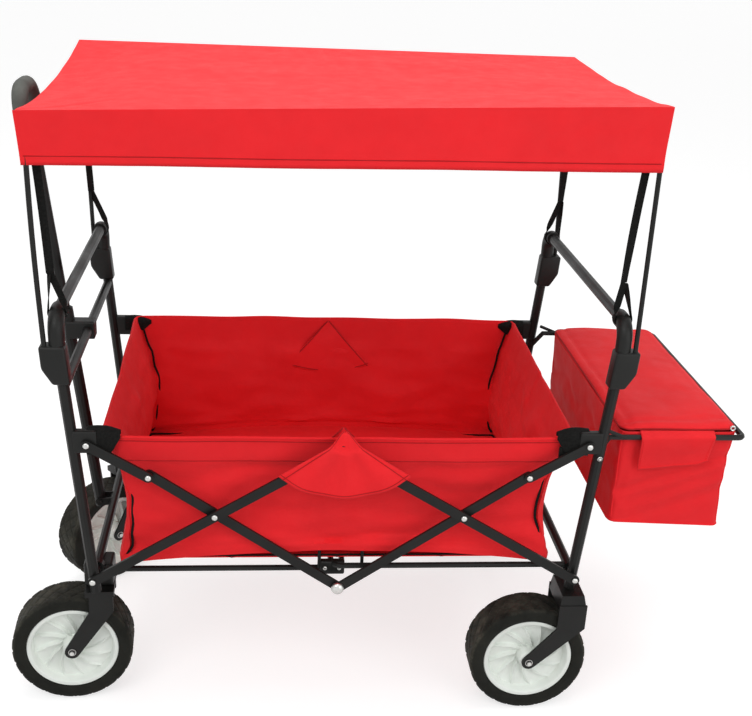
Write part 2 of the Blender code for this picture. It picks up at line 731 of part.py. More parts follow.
def build_blades(w, rim_inner):
    """The ring of swept blades between hub and rim."""
    start = HUB_R * 0.75
    end = rim_inner + RIM_WALL * 0.5
    steps = 3
    left, right = [], []
    for i in range(steps + 1):
        t = i / steps
        radius = start + (end - start) * t
        angle = BLADE_SWEEP * t * t
        turn = BLADE_THICK / 2 / radius
        left.append((radius * math.cos(angle + turn), radius * math.sin(angle + turn)))
        right.append((radius * math.cos(angle - turn), radius * math.sin(angle - turn)))
    blade = plate("blade", [right + left[::-1]], BLADE_HALF * 2, 0.0, w.tools)
    bm = bmesh.new()
    for i in range(BLADES):
        copy = blade.data.copy()
        copy.transform(Matrix.Rotation(2 * math.pi * i / BLADES, 4, "Y"))
        bm.from_mesh(copy)
    bpy.data.objects.remove(blade, do_unlink=True)
    return object_from_bmesh("blades", bm, w.tools)


def arm_outline(axle, shoulder, top):
    """A fork arm: wide at the top, tapering to a round end at the axle."""
    (left, right, low_z), high_z = shoulder, top
    ax, az = axle
    lean = math.atan2(low_z - az, (left + right) / 2 - ax)
    quarter = math.pi / 2
    lower = arc(axle, ARM_END_R, lean + quarter, lean + 3 * quarter, 8)
    return lower + [(right, low_z), (right, high_z), (left, high_z), (left, low_z)]


def build_rear_fork(w, side, axis):
    """The fixed rear fork: a housing under the post, two arms and the axle."""
    sy = SIDES[side]
    y = sy * REAR_TRACK
    half = ARM_GAP + ARM_THICK
    x0, x1 = REAR_HOUSING_X
    z0, z1 = REAR_HOUSING_Z
    body = tapered_box(f"rear_fork_{side}", (x0, x1, half), (*REAR_HOUSING_TOP_X, half - REAR_HOUSING_TAPER),
                       z0, z1, w.tools)
    body.data.transform(Matrix.Translation((0.0, y, 0.0)))
    pieces = []
    for s in SIDES.values():
        shape = arm_outline((REAR_AXLE_X, WHEEL_R), (x0, x1, REAR_ARM_SHOULDER_Z), z0 + REAR_ARM_LAP)
        pieces.append(plate("arm", [shape], ARM_THICK, y + s * (ARM_GAP + ARM_THICK / 2), w.tools))
    pieces.append(axle_pin(w, REAR_AXLE_X, y))
    w.add(join(body, *pieces), axis, "steel")


def axle_pin(w, x, y):
    """The axle bolt across a fork, with a head at each end."""
    half = ARM_GAP + ARM_THICK
    end = half + AXLE_HEAD_H
    side = [(0.0, end), (AXLE_R, end), (AXLE_HEAD_R, half + AXLE_HEAD_H / 2), (AXLE_HEAD_R, half - BITE),
            (AXLE_R, half - BITE)]
    profile = side + [(radius, -height) for radius, height in reversed(side)]
    return turned("axle", profile, w.tools, (x, y, WHEEL_R), "Y", 10)


def build_caster(w, side, frame_axis, swivel_axis, matrix):
    """The front caster: a fixed housing on the low crossbar and a swivelling fork."""
    sy = SIDES[side]
    x, y = -LOWER_BAR_X, sy * FRONT_TRACK
    housing = block(f"front_caster_housing_{side}", (x - CASTER_HALF_X, y - HOUSING_HALF_Y, HOUSING_LOW),
                    (x + CASTER_HALF_X, y + HOUSING_HALF_Y, LOWER_BAR_Z - BITE), w.tools, HOUSING_ROUND)
    reach = HOUSING_HALF_Y * 1.5
    saddle = tube("saddle", [(x, y - reach, LOWER_BAR_Z), (x, y + reach, LOWER_BAR_Z)],
                  LOWER_BAR_R + GAP, w.tools, 3)
    bore = tube("bore", [(x, y, CASTER_CROWN_LOW), (x, y, CASTER_STEM_TOP + GAP)],
                CASTER_STEM_R + RUN, w.tools, 10)
    w.add(cut(housing, saddle, bore), frame_axis, "plastic")
    half = ARM_GAP + ARM_THICK
    crown = block(f"front_fork_{side}", (-CASTER_HALF_X, -half, CASTER_CROWN_LOW),
                  (CASTER_HALF_X, half, CASTER_CROWN_HIGH), w.tools)
    pieces = [tube("stem", [(0.0, 0.0, CASTER_CROWN_HIGH - ARM_LAP), (0.0, 0.0, CASTER_STEM_TOP)],
                   CASTER_STEM_R, w.tools, 3)]
    for s in SIDES.values():
        shape = arm_outline((-CASTER_TRAIL, WHEEL_R), (*CASTER_SHOULDER_X, CASTER_SHOULDER_Z),
                            CASTER_CROWN_HIGH - ARM_LAP)
        pieces.append(plate("arm", [shape], ARM_THICK, s * (ARM_GAP + ARM_THICK / 2), w.tools))
    pieces.append(axle_pin(w, -CASTER_TRAIL, 0.0))
    w.add(wheel_place(matrix, join(crown, *pieces)), swivel_axis, "steel")


def handle_point(along, across=0.0):
    """A point at a distance up the handle from its pivot."""
    return (HANDLE_PIVOT_X - along * math.sin(HANDLE_LEAN), across,
            HANDLE_PIVOT_Z + along * math.cos(HANDLE_LEAN))


def build_handle(w, frame_axis, tilt_axis, slide_axis):
    """The pull handle: outer tube, sliding inner tube with its grip, and the clip that parks it."""
    outer = tube("handle_outer_tube", [handle_point(-HANDLE_FOOT), handle_point(HANDLE_TUBE_LENGTH)],
                 HANDLE_TUBE_R, w.tools, 4)
    bore = tube("bore", [handle_point(HANDLE_BORE_START), handle_point(HANDLE_TUBE_LENGTH + HANDLE_FOOT)],
                HANDLE_INNER_R + GAP, w.tools, 3)
    reach = HANDLE_TUBE_R * 2
    hole = RIVET_R + RUN
    cross = turned("cross_hole", [(0.0, reach), (hole, reach), (hole, -reach), (0.0, -reach)], w.tools,
                   (HANDLE_PIVOT_X, 0.0, HANDLE_PIVOT_Z), "Y", 24)
    w.add(cut(outer, bore, cross), tilt_axis, "steel")
    inner = tube("handle_inner_tube", [handle_point(HANDLE_INNER_START), handle_point(HANDLE_INNER_END)],
                 HANDLE_INNER_R, w.tools, 3)
    w.add(inner, slide_axis, "steel")
    base = HANDLE_INNER_END - GRIP_STEM_LENGTH * 0.6
    middle = base + GRIP_STEM_LENGTH + GRIP_HEIGHT / 2
    corner = GRIP_CORNER
    half_w, half_h = GRIP_WIDTH / 2, GRIP_HEIGHT / 2
    loop = []
    for sy, sz, start in ((1, 1, 0.0), (-1, 1, 0.5), (-1, -1, 1.0), (1, -1, 1.5)):
        cy, cz = sy * (half_w - corner), sz * (half_h - corner)
        for i in range(5):
            angle = math.pi * (start + 0.5 * i / 4)
            loop.append(handle_point(middle + cz + corner * math.sin(angle), cy + corner * math.cos(angle)))
    grip = tube("handle_grip", loop, GRIP_R, w.tools, 2, True)
    stem = tube("stem", [handle_point(base), handle_point(base + GRIP_STEM_LENGTH + GRIP_R / 2)], GRIP_STEM_R,
                w.tools, 3)
    socket = tube("socket", [handle_point(base - GRIP_R), handle_point(HANDLE_INNER_END + GAP)],
                  HANDLE_INNER_R + GAP, w.tools, 3)
    w.add(cut(join(grip, stem), socket), slide_axis, "foam")
    build_clip(w, frame_axis)


def build_clip(w, axis):
    """The clip on the front middle crossbar, open to the front for the handle."""
    z = MIDDLE_BAR_Z - CROSSBAR_DROP
    bar_x = -post_x(z)
    up = (z - HANDLE_PIVOT_Z) / math.cos(HANDLE_LEAN)
    handle_x = handle_point(up)[0]
    back = bar_x + LOWER_BAR_R + CLIP_WALL
    front = handle_x - HANDLE_TUBE_R * 0.45
    clip = block("handle_clip", (front, -CLIP_HALF_Y, z - CLIP_HALF_Z), (back, CLIP_HALF_Y, z + CLIP_HALF_Z),
                 w.tools, SMALL_ROUND)
    bar_hole = tube("bar_hole", [(bar_x, -2 * CLIP_HALF_Y, z), (bar_x, 2 * CLIP_HALF_Y, z)],
                    LOWER_BAR_R + GAP, w.tools, 3)
    reach = 3 * CLIP_HALF_Z
    low, high = handle_point(up - reach), handle_point(up + reach)
    mouth = plate("mouth", [[(front - reach, low[2]), (low[0], low[2]), (high[0], high[2]),
                             (front - reach, high[2])]], (HANDLE_TUBE_R + GAP) * 2, 0.0, w.tools)
    slot = tube("slot", [low, high], HANDLE_TUBE_R + GAP, w.tools, 4)
    w.add(cut(clip, bar_hole, mouth, slot), axis, "plastic")


def build_bag(w, frame_axis, lid_axis):
    """The rear bag in its wire frame, with a lid hinged beside the posts."""
    x0, x1 = BAG_X
    z0, z1 = BAG_Z
    inset = BAG_BOTTOM_INSET
    outer = tapered_box("bag_body", (x0 + inset, x1 - inset, BAG_Y - inset), (x0, x1, BAG_Y), z0, z1, w.tools)
    inner = tapered_box("hollow", (x0 + inset + FABRIC, x1 - inset - FABRIC, BAG_Y - inset - FABRIC),
                        (x0 + FABRIC, x1 - FABRIC, BAG_Y - FABRIC), z0 + FABRIC, z1 + BITE, w.tools)
    w.add(cut(outer, inner), frame_axis, "red")
    over = LID_OVERHANG
    lid = block("bag_lid", (x0 + BITE, -BAG_Y + over, z1 + GAP), (x1 - over, BAG_Y - over, z1 + LID_THICK),
                w.tools, SMALL_ROUND)
    w.add(lid, lid_axis, "red")
    y = BAG_Y + BAG_FRAME_R + GAP * 2
    start_x = post_x(BAG_RIVET_Z)
    route = [(start_x, POST_Y - POST_R - BAG_FRAME_R - LAYER_GAP, BAG_RIVET_Z)]
    route.append((start_x + BAG_FRAME_RISE_X, y, BAG_FRAME_Z))
    bend = BAG_FRAME_CORNER
    for i in range(6):
        angle = math.pi / 2 * i / 5
        route.append((BAG_FRAME_OUT - bend + bend * math.sin(angle), y - bend + bend * math.cos(angle),
                      BAG_FRAME_Z))
    route += [(px, -py, pz) for px, py, pz in reversed(route)]
    frame = tube("bag_frame", route, BAG_FRAME_R, w.tools)
    w.add(frame, frame_axis, "steel")


def centre_on_floor(w):
    """Put the origin on the floor below the middle of the whole object."""
    bpy.context.view_layer.update()
    graph = bpy.context.evaluated_depsgraph_get()
    corners = []
    for obj in w.parts.objects:
        if obj.type == "MESH":
            shape = obj.evaluated_get(graph)
            corners += [shape.matrix_world @ vert.co for vert in shape.data.vertices]
    low = [min(c[i] for c in corners) for i in range(3)]
    high = [max(c[i] for c in corners) for i in range(3)]
    w.root.location = (-(low[0] + high[0]) / 2, -(low[1] + high[1]) / 2, -low[2])
    print("size", [round(high[i] - low[i], 4) for i in range(3)], "shift",
          [round(value, 5) for value in w.root.location])


def main():
    """Build every piece."""
    clear_scene()
    w = Wagon()
    low_z, top_z = PIVOT_Z, CENTRE_TOP_Z
    rear_bars = w.axis("rear_bars", (PIVOT_X, 0.0, low_z), w.root)
    front_bars = w.axis("front_bars", (0.0, 0.0, top_z), rear_bars)
    front_frame = w.axis("front_frame", (-PIVOT_X, 0.0, low_z), front_bars)
    frames = {"rear": w.root, "front": front_frame}
    bars = {"rear": rear_bars, "front": front_bars}
    for end, sx in ENDS.items():
        frame = frames[end]
        braces = w.axis(f"{end}_braces", (sx * CROSS_X, 0.0, CROSS_Z), bars[end])
        links = w.axis(f"{end}_links", (sx * TOP_PIVOT_X, 0.0, TOP_PIVOT_Z), frame)
        floor = w.axis(f"{end}_floor", (sx * LOWER_BAR_X, 0.0, LOWER_BAR_Z), frame)
        build_crossbars(w, end, frame)
        build_floor_frame(w, end, floor)
        for side in SIDES:
            build_post(w, end, side, frame)
            build_connector(w, end, side, frame)
            build_socket(w, end, side, frame)
            build_rod(w, end, side, frame)
            build_bar(w, end, side, bars[end])
            build_brace(w, end, side, braces)
            build_link(w, end, side, links)
    build_basket(w, w.root)
    build_canopy(w, w.root)
    for side, sy in SIDES.items():
        build_rear_fork(w, side, w.root)
        at = (REAR_AXLE_X, sy * REAR_TRACK, WHEEL_R)
        build_wheel(w, f"rear_{side}", Matrix.Translation(at), w.axis(f"rear_wheel_{side}", at, w.root))
        pivot = (-LOWER_BAR_X, sy * FRONT_TRACK, 0.0)
        swivel = w.axis(f"front_swivel_{side}", pivot, front_frame)
        turn = Matrix.Translation(pivot) @ Matrix.Rotation(FRONT_SWIVEL[side], 4, "Z")
        build_caster(w, side, front_frame, swivel, turn)
        hub = turn @ Vector((-CASTER_TRAIL, 0.0, WHEEL_R))
        matrix = turn @ Matrix.Translation((-CASTER_TRAIL, 0.0, WHEEL_R))
        build_wheel(w, f"front_{side}", matrix, w.axis(f"front_wheel_{side}", tuple(hub), swivel))
    tilt = w.axis("handle_tilt", (HANDLE_PIVOT_X, 0.0, HANDLE_PIVOT_Z), front_frame)
    slide = w.axis("handle_slide", handle_point(HANDLE_TUBE_LENGTH), tilt)
    build_handle(w, front_frame, tilt, slide)
    bag = w.axis("bag", (post_x(BAG_RIVET_Z), 0.0, BAG_RIVET_Z), w.root)
    lid = w.axis("bag_lid", (BAG_X[0], 0.0, BAG_Z[1]), bag)
    build_bag(w, bag, lid)
    centre_on_floor(w)


main()
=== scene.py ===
"""Looks of a folding fabric wagon with a shade canopy, wide wheels and a rear bag.

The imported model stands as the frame, in metres with +Z up. -X is the pull end, +X the bag
end and -Y the near side. Each operator dresses one piece or one group of like pieces.
"""
import json
import math

import bmesh
import bpy
from bpy.props import FloatProperty, FloatVectorProperty, IntProperty, PointerProperty
from mathutils import Matrix, Vector, noise


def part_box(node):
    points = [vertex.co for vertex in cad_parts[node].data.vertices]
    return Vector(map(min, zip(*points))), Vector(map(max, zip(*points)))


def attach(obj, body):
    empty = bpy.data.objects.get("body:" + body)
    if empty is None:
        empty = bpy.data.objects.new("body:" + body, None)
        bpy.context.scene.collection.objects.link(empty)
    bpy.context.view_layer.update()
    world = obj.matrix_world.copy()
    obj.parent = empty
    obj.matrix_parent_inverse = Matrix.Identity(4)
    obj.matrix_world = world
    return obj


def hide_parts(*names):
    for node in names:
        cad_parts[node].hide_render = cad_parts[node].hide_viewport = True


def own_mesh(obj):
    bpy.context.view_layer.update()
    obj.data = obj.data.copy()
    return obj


bl_info = {
    "name": "Folding wagon looks",
    "version": (1, 0, 0),
    "blender": (4, 5, 0),
    "location": "View3D > Sidebar > Wagon",
    "description": "Dresses the packed frame of a folding wagon",
    "category": "Object",
}

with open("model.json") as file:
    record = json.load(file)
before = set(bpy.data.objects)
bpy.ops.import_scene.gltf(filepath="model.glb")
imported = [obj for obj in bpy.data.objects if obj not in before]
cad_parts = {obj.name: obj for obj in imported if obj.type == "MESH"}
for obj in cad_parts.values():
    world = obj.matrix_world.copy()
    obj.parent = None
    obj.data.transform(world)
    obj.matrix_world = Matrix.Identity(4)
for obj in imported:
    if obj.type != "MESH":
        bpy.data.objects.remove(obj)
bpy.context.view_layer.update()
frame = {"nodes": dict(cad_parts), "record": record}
SIDES = {"near": -1.0, "far": 1.0}
ENDS = {"front": -1.0, "rear": 1.0}


def node_box(name):
    """The lowest and highest corner of a frame node."""
    low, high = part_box(name)
    return Vector(low), Vector(high)


BASKET_LOW, BASKET_HIGH = node_box("basket")
MIDDLE_X = (BASKET_LOW.x + BASKET_HIGH.x) / 2
JOINTS = {joint["name"]: joint for joint in frame["record"]["behaviour"]["joints"]}
CORNERS = [(end, sx, side, sy) for end, sx in ENDS.items() for side, sy in SIDES.items()]
HALF_BAR = 0.008


def along(x):
    """A distance from the wagon's middle, as a place in the frame."""
    return MIDDLE_X + x


def mix(a, b, t):
    """A value between two others."""
    return a + (b - a) * t


def smooth(t):
    """An eased step from 0 to 1."""
    t = max(0.0, min(1.0, t))
    return t * t * (3 - 2 * t)


def hump(value, centre, width):
    """A soft bump of height 1."""
    return math.exp(-((value - centre) / width) ** 2)


def ripple(x, y, z, scale, seed=0.0):
    """Smooth repeatable unevenness between about -1 and 1."""
    return noise.noise(Vector((x * scale + seed, y * scale - seed * 0.7, z * scale + seed * 1.3)))


# Mesh helpers


def ring_edges(verts):
    """The edges that run between the given vertices."""
    inside = set(verts)
    return [edge for edge in {e for v in verts for e in v.link_edges}
            if edge.verts[0] in inside and edge.verts[1] in inside]


def turned(points, steps, axis="Y"):
    """A bmesh turned from (radius, height) points about an axis."""
    bm = bmesh.new()
    verts = [bm.verts.new((radius, 0.0, height)) for radius, height in points]
    edges = [bm.edges.new(pair) for pair in zip(verts, verts[1:])]
    bmesh.ops.spin(bm, geom=verts + edges, cent=(0, 0, 0), axis=(0, 0, 1), dvec=(0, 0, 0),
                   angle=2 * math.pi, steps=steps, use_merge=True, use_duplicate=False)
    bmesh.ops.remove_doubles(bm, verts=bm.verts, dist=0.00001)
    bmesh.ops.recalc_face_normals(bm, faces=bm.faces)
    turns = {"Z": Matrix(), "Y": Matrix.Rotation(-math.pi / 2, 4, "X"),
             "X": Matrix.Rotation(math.pi / 2, 4, "Y")}
    bm.transform(turns[axis])
    return bm


def pipe(bm, points, radius, sides=8, closed=False, flat=1.0):
    """Add a round or flattened bar along points."""
    points = [Vector(point) for point in points]
    count = len(points)
    rings = []
    for i, point in enumerate(points):
        before = points[(i - 1) % count] if closed or i else points[0]
        after = points[(i + 1) % count] if closed or i < count - 1 else points[-1]
        heading = (after - before).normalized()
        turn = heading.to_track_quat("Z", "Y").to_matrix().to_4x4()
        place = Matrix.Translation(point) @ turn @ Matrix.Diagonal((1.0, flat, 1.0, 1.0))
        rings.append(bmesh.ops.create_circle(bm, segments=sides, radius=radius, matrix=place)["verts"])
    pairs = list(zip(rings, rings[1:]))
    if closed:
        pairs.append((rings[-1], rings[0]))
    loops = {id(ring): ring_edges(ring) for ring in rings}
    for first, second in pairs:
        bmesh.ops.bridge_loops(bm, edges=loops[id(first)] + loops[id(second)])
    if not closed:
        for ring in (rings[0], rings[-1]):
            bmesh.ops.contextual_create(bm, geom=loops[id(ring)])
    bmesh.ops.recalc_face_normals(bm, faces=bm.faces)
    return bm


def ribbon(points, acrosses, width, thick):
    """A flat strap along points, each with the direction of its width there."""
    bm = bmesh.new()
    halves = [Vector(across).normalized() * width / 2 for across in acrosses]
    points = [Vector(point) for point in points]
    low, high = bm.verts.new(points[0] - halves[0]), bm.verts.new(points[0] + halves[0])
    edge = bm.edges.new((low, high))
    for point, half in zip(points[1:], halves[1:]):
        made = bmesh.ops.extrude_edge_only(bm, edges=[edge])["geom"]
        edge = next(item for item in made if isinstance(item, bmesh.types.BMEdge)
                    and low not in item.verts and high not in item.verts)
        pair = {neighbour: vert for vert in edge.verts for side in vert.link_edges
                for neighbour in (side.other_vert(vert),) if neighbour in (low, high)}
        low, high = pair[low], pair[high]
        low.co, high.co = point - half, point + half
    bmesh.ops.recalc_face_normals(bm, faces=bm.faces)
    bmesh.ops.solidify(bm, geom=bm.faces[:], thickness=thick)
    bmesh.ops.recalc_face_normals(bm, faces=bm.faces)
    return bm


def soften(bm, edges, offset, segments):
    """Round edges off."""
    bmesh.ops.bevel(bm, geom=edges, offset=offset, offset_type="OFFSET", segments=segments, profile=0.5,
                    affect="EDGES", clamp_overlap=True, material=-1)


def carry_on(bm, rim, drop):
    """Extrude a boundary downwards and give the new boundary and its vertices."""
    made = bmesh.ops.extrude_edge_only(bm, edges=rim)["geom"]
    moved = [item for item in made if isinstance(item, bmesh.types.BMVert)]
    bmesh.ops.translate(bm, verts=moved, vec=(0, 0, -drop))
    return [item for item in made if isinstance(item, bmesh.types.BMEdge) and item.is_boundary], moved


def close_off(bm, *rims):
    """Cap rings of edges with triangles."""
    caps = [face for rim in rims for face in bmesh.ops.contextual_create(bm, geom=rim)["faces"]]
    bmesh.ops.triangulate(bm, faces=caps)


def settle(bm, move):
    """Turn the normals outwards and move the whole to its place."""
    bmesh.ops.recalc_face_normals(bm, faces=bm.faces)
    bmesh.ops.translate(bm, vec=move, verts=bm.verts)


def rounded_block(low, high, bevel, segments=3):
    """A bmesh box between two corners with rounded edges."""
    bm = bmesh.new()
    bmesh.ops.create_cube(bm, size=1.0)
    low, high = Vector(low), Vector(high)
    bmesh.ops.scale(bm, vec=high - low, verts=bm.verts)
    bmesh.ops.translate(bm, vec=(low + high) / 2, verts=bm.verts)
    soften(bm, bm.edges[:], bevel, segments)
    return bm


def rounded_outline(half_x, half_y, radius, count):
    """Evenly spaced points round a rounded rectangle, from +X, anticlockwise."""
    flat_x, flat_y = 2 * (half_x - radius), 2 * (half_y - radius)
    bend = math.pi * radius / 2
    total = 2 * (flat_x + flat_y) + 4 * bend
    stretches = [("y", flat_y), ("bend", bend), ("x", flat_x), ("bend", bend)] * 2
    corner = [(1, 1), (-1, 1), (-1, -1), (1, -1)]
    points = []
    for i in range(count):
        left = (total * i / count + flat_y / 2) % total
        bends = 0
        for index, (kind, length) in enumerate(stretches):
            if left <= length:
                break
            left -= length
            bends += kind == "bend"
        turn = math.pi / 2 * bends
        if kind == "bend":
            sx, sy = corner[bends]
            angle = turn + left / radius
            points.append((sx * (half_x - radius) + radius * math.cos(angle),
                           sy * (half_y - radius) + radius * math.sin(angle)))
        else:
            way = (-math.sin(turn), math.cos(turn))
            sx, sy = corner[(index // 2 - 1) % 4]
            start = (sx * (half_x - radius) + radius * math.cos(turn),
                     sy * (half_y - radius) + radius * math.sin(turn))
            points.append((start[0] + way[0] * left, start[1] + way[1] * left))
    return points


def outline_ring(bm, half_x, half_y, radius, count):
    """The edges of a ring laid round a rounded rectangle."""
    ring = bmesh.ops.create_circle(bm, segments=count, radius=1.0)["verts"]
    for vert, (x, y) in zip(ring, rounded_outline(half_x, half_y, radius, count)):
        vert.co = (x, y, 0.0)
    return ring_edges(ring)


def cloth_grid(across, down, spot):
    """A sheet whose points come from how far across and down it they lie, each from 0 to 1."""
    bm = bmesh.new()
    bmesh.ops.create_grid(bm, x_segments=across, y_segments=down, size=0.5)
    for vert in bm.verts:
        vert.co = spot(vert.co.x + 0.5, vert.co.y + 0.5)
    bmesh.ops.recalc_face_normals(bm, faces=bm.faces)
    return bm


def box_uv(bm):
    """Lay the surface out in metres by the way each face looks."""
    layer = bm.loops.layers.uv.verify()
    for face in bm.faces:
        n = face.normal
        axis = max(range(3), key=lambda i: abs(n[i]))
        pair = [i for i in range(3) if i != axis]
        for loop in face.loops:
            loop[layer].uv = (loop.vert.co[pair[0]], loop.vert.co[pair[1]])


def piece(bm, name, finish, body, nodes=(), sharp=40.0, uv=False):
    """Finish a bmesh as a named piece that rides on a body."""
    if uv:
        bm.normal_update()
        box_uv(bm)
    mesh = bpy.data.meshes.new(name)
    bm.to_mesh(mesh)
    bm.free()
    obj = bpy.data.objects.new(name, mesh)
    bpy.context.scene.collection.objects.link(obj)
    mesh.materials.append(FINISHES[finish])
    mesh.shade_smooth()
    mesh.set_sharp_from_angle(angle=math.radians(sharp))
    if body:
        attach(obj, body)
    if nodes:
        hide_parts(*nodes)
    return obj


def with_wall(obj, thickness, offset=-1.0):
    """Give a sheet its thickness."""
    wall = obj.modifiers.new("wall", "SOLIDIFY")
    wall.thickness = thickness
    wall.offset = offset
    return obj


def folds_up(obj, anchor_x):
    """Give a soft piece its own copy of its mesh."""
    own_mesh(obj)


def basket_trim(bm, name, finish):
    """A line of trim that rides on the rear frame with the basket."""
    obj = piece(bm, name, finish, "rear_frame", ())
    folds_up(obj, BASKET_HIGH.x)
    return obj


# Materials

FINISHES = {}


class Nodes:
    """A short way to write a material's node tree."""

    def __init__(self, name):
        self.material = bpy.data.materials.new(name)
        self.material.use_nodes = True
        self.tree = self.material.node_tree
        self.shader = self.tree.nodes["Principled BSDF"]
        self.place = self.tree.nodes.new("ShaderNodeTexCoord")

    def add(self, kind, **settings):
        """A new node with its plain settings."""
        node = self.tree.nodes.new(kind)
        for key, value in settings.items():
            setattr(node, key, value)
        return node

    def link(self, source, target):
        """Join two sockets."""
        self.tree.links.new(source, target)

    def noise(self, scale, detail=4.0, roughness=0.55, coordinates="Object"):
        """Cloudy noise over the piece."""
        node = self.add("ShaderNodeTexNoise")
        node.inputs["Scale"].default_value = scale
        node.inputs["Detail"].default_value = detail
        node.inputs["Roughness"].default_value = roughness
        self.link(self.place.outputs[coordinates], node.inputs["Vector"])
        return node.outputs["Fac"]

    def wave(self, scale, direction, coordinates="UV"):
        """Straight threads in one direction."""
        node = self.add("ShaderNodeTexWave", bands_direction=direction)
        node.inputs["Scale"].default_value = scale
        self.link(self.place.outputs[coordinates], node.inputs["Vector"])
        return node.outputs["Fac"]

    def math(self, operation, a, b):
        """Arithmetic between sockets or numbers."""
        node = self.add("ShaderNodeMath", operation=operation)
        for socket, value in zip(node.inputs, (a, b)):
            if isinstance(value, (int, float)):
                socket.default_value = value
            else:
                self.link(value, socket)
        return node.outputs["Value"]

    def spread(self, source, low, high, out_low=0.0, out_high=1.0):
        """Stretch a value from one range to another."""
        node = self.add("ShaderNodeMapRange")
        node.inputs["From Min"].default_value = low
        node.inputs["From Max"].default_value = high
        node.inputs["To Min"].default_value = out_low
        node.inputs["To Max"].default_value = out_high
        self.link(source, node.inputs["Value"])
        return node.outputs["Result"]

    def blend(self, factor, first, second):
        """A colour between two colours."""
        node = self.add("ShaderNodeMix", data_type="RGBA")
        self.link(factor, node.inputs["Factor"])
        for socket, value in ((node.inputs[6], first), (node.inputs[7], second)):
            if isinstance(value, bpy.types.NodeSocket):
                self.link(value, socket)
            else:
                socket.default_value = (*value, 1.0)
        return node.outputs[2]

    def bump(self, height, distance, strength=1.0, after=None):
        """A bump on the surface, over an earlier one if given."""
        node = self.add("ShaderNodeBump")
        node.inputs["Distance"].default_value = distance
        node.inputs["Strength"].default_value = strength
        self.link(height, node.inputs["Height"])
        if after is not None:
            self.link(after, node.inputs["Normal"])
        return node.outputs["Normal"]

    def done(self, colour, roughness, normal=None, metallic=0.0, **extras):
        """Fill the shader and hand the material over."""
        inputs = self.shader.inputs
        if isinstance(colour, bpy.types.NodeSocket):
            self.link(colour, inputs["Base Color"])
        else:
            inputs["Base Color"].default_value = (*colour, 1.0)
        if isinstance(roughness, bpy.types.NodeSocket):
            self.link(roughness, inputs["Roughness"])
        else:
            inputs["Roughness"].default_value = roughness
        inputs["Metallic"].default_value = metallic
        for key, value in extras.items():
            inputs[key.replace("_", " ")].default_value = value
        if normal is not None:
            self.link(normal, inputs["Normal"])
        return self.material


def darker(colour, factor):
    """A colour scaled down or up."""
    return tuple(min(1.0, channel * factor) for channel in colour[:3])


def woven(name, colour, threads, crumple, roughness=0.78):
    """Woven cloth: crossing threads, slight crumples and uneven dye."""
    n = Nodes(name)
    warp = n.wave(threads, "X")
    weft = n.wave(threads, "Y")
    weave = n.math("ADD", warp, weft)
    folds = n.noise(9.0, 5.0, 0.6)
    fine = n.noise(42.0, 3.0, 0.5)
    creases = n.math("ADD", n.math("MULTIPLY", folds, 1.0), n.math("MULTIPLY", fine, 0.35))
    normal = n.bump(creases, crumple, 0.38)
    normal = n.bump(weave, 0.00018, 0.45, normal)
    tone = n.spread(folds, 0.32, 0.70)
    dyed = n.blend(tone, darker(colour, 0.93), darker(colour, 1.04))
    thread_tone = n.spread(weave, 0.4, 1.7, 0.0, 0.16)
    shade = n.blend(thread_tone, dyed, darker(colour, 0.62))
    sheen = n.spread(fine, 0.3, 0.7, roughness - 0.07, roughness + 0.06)
    return n.done(shade, sheen, normal, 0.0, Sheen_Weight=0.04, Sheen_Roughness=0.5,
                  Specular_IOR_Level=0.25)


def webbing(name, colour):
    """Narrow strap cloth with ribs across it."""
    n = Nodes(name)
    ribs = n.wave(120.0, "Z", "Object")
    fuzz = n.noise(260.0, 2.0)
    normal = n.bump(n.math("ADD", ribs, fuzz), 0.0004, 0.6)
    tone = n.blend(n.spread(fuzz, 0.3, 0.7), darker(colour, 0.7), darker(colour, 1.5))
    return n.done(tone, 0.88, normal, 0.0, Specular_IOR_Level=0.12)


def coated_steel(name, colour):
    """Black powder coat: a fine orange-peel with rubbed places."""
    n = Nodes(name)
    peel = n.noise(520.0, 2.0, 0.5)
    cloud = n.noise(14.0, 4.0, 0.6)
    normal = n.bump(peel, 0.00012, 0.4)
    tone = n.blend(n.spread(cloud, 0.35, 0.75), darker(colour, 0.8), darker(colour, 1.7))
    rough = n.spread(cloud, 0.3, 0.7, 0.34, 0.48)
    return n.done(tone, rough, normal, 0.0, Specular_IOR_Level=0.20)


def moulded(name, colour, roughness, grain=340.0, depth=0.0001, gloss=0.5):
    """Moulded plastic with a fine grain."""
    n = Nodes(name)
    texture = n.noise(grain, 3.0, 0.6)
    cloud = n.noise(22.0, 3.0, 0.5)
    normal = n.bump(texture, depth, 0.5)
    tone = n.blend(n.spread(cloud, 0.3, 0.7), darker(colour, 0.92), darker(colour, 1.06))
    rough = n.spread(texture, 0.3, 0.7, roughness - 0.05, roughness + 0.07)
    return n.done(tone, rough, normal, 0.0, Specular_IOR_Level=gloss)


def tyre_rubber(name, colour, dust):
    """Black rubber with pale dust on the tread and a dull bloom."""
    n = Nodes(name)
    scuff = n.noise(70.0, 5.0, 0.65)
    cloud = n.noise(16.0, 4.0, 0.6)
    dusty = n.math("MULTIPLY", n.spread(cloud, 0.38, 0.72), n.spread(scuff, 0.35, 0.7, 0.25, 1.0))
    tread = n.add("ShaderNodeAttribute", attribute_name="tread")
    amount = n.math("MULTIPLY", dusty, n.spread(tread.outputs["Fac"], 0.0, 1.0, 0.15, 0.95))
    tone = n.blend(amount, colour, dust)
    normal = n.bump(scuff, 0.00035, 0.5)
    return n.done(tone, n.spread(scuff, 0.3, 0.7, 0.60, 0.85), normal, 0.0, Specular_IOR_Level=0.14)


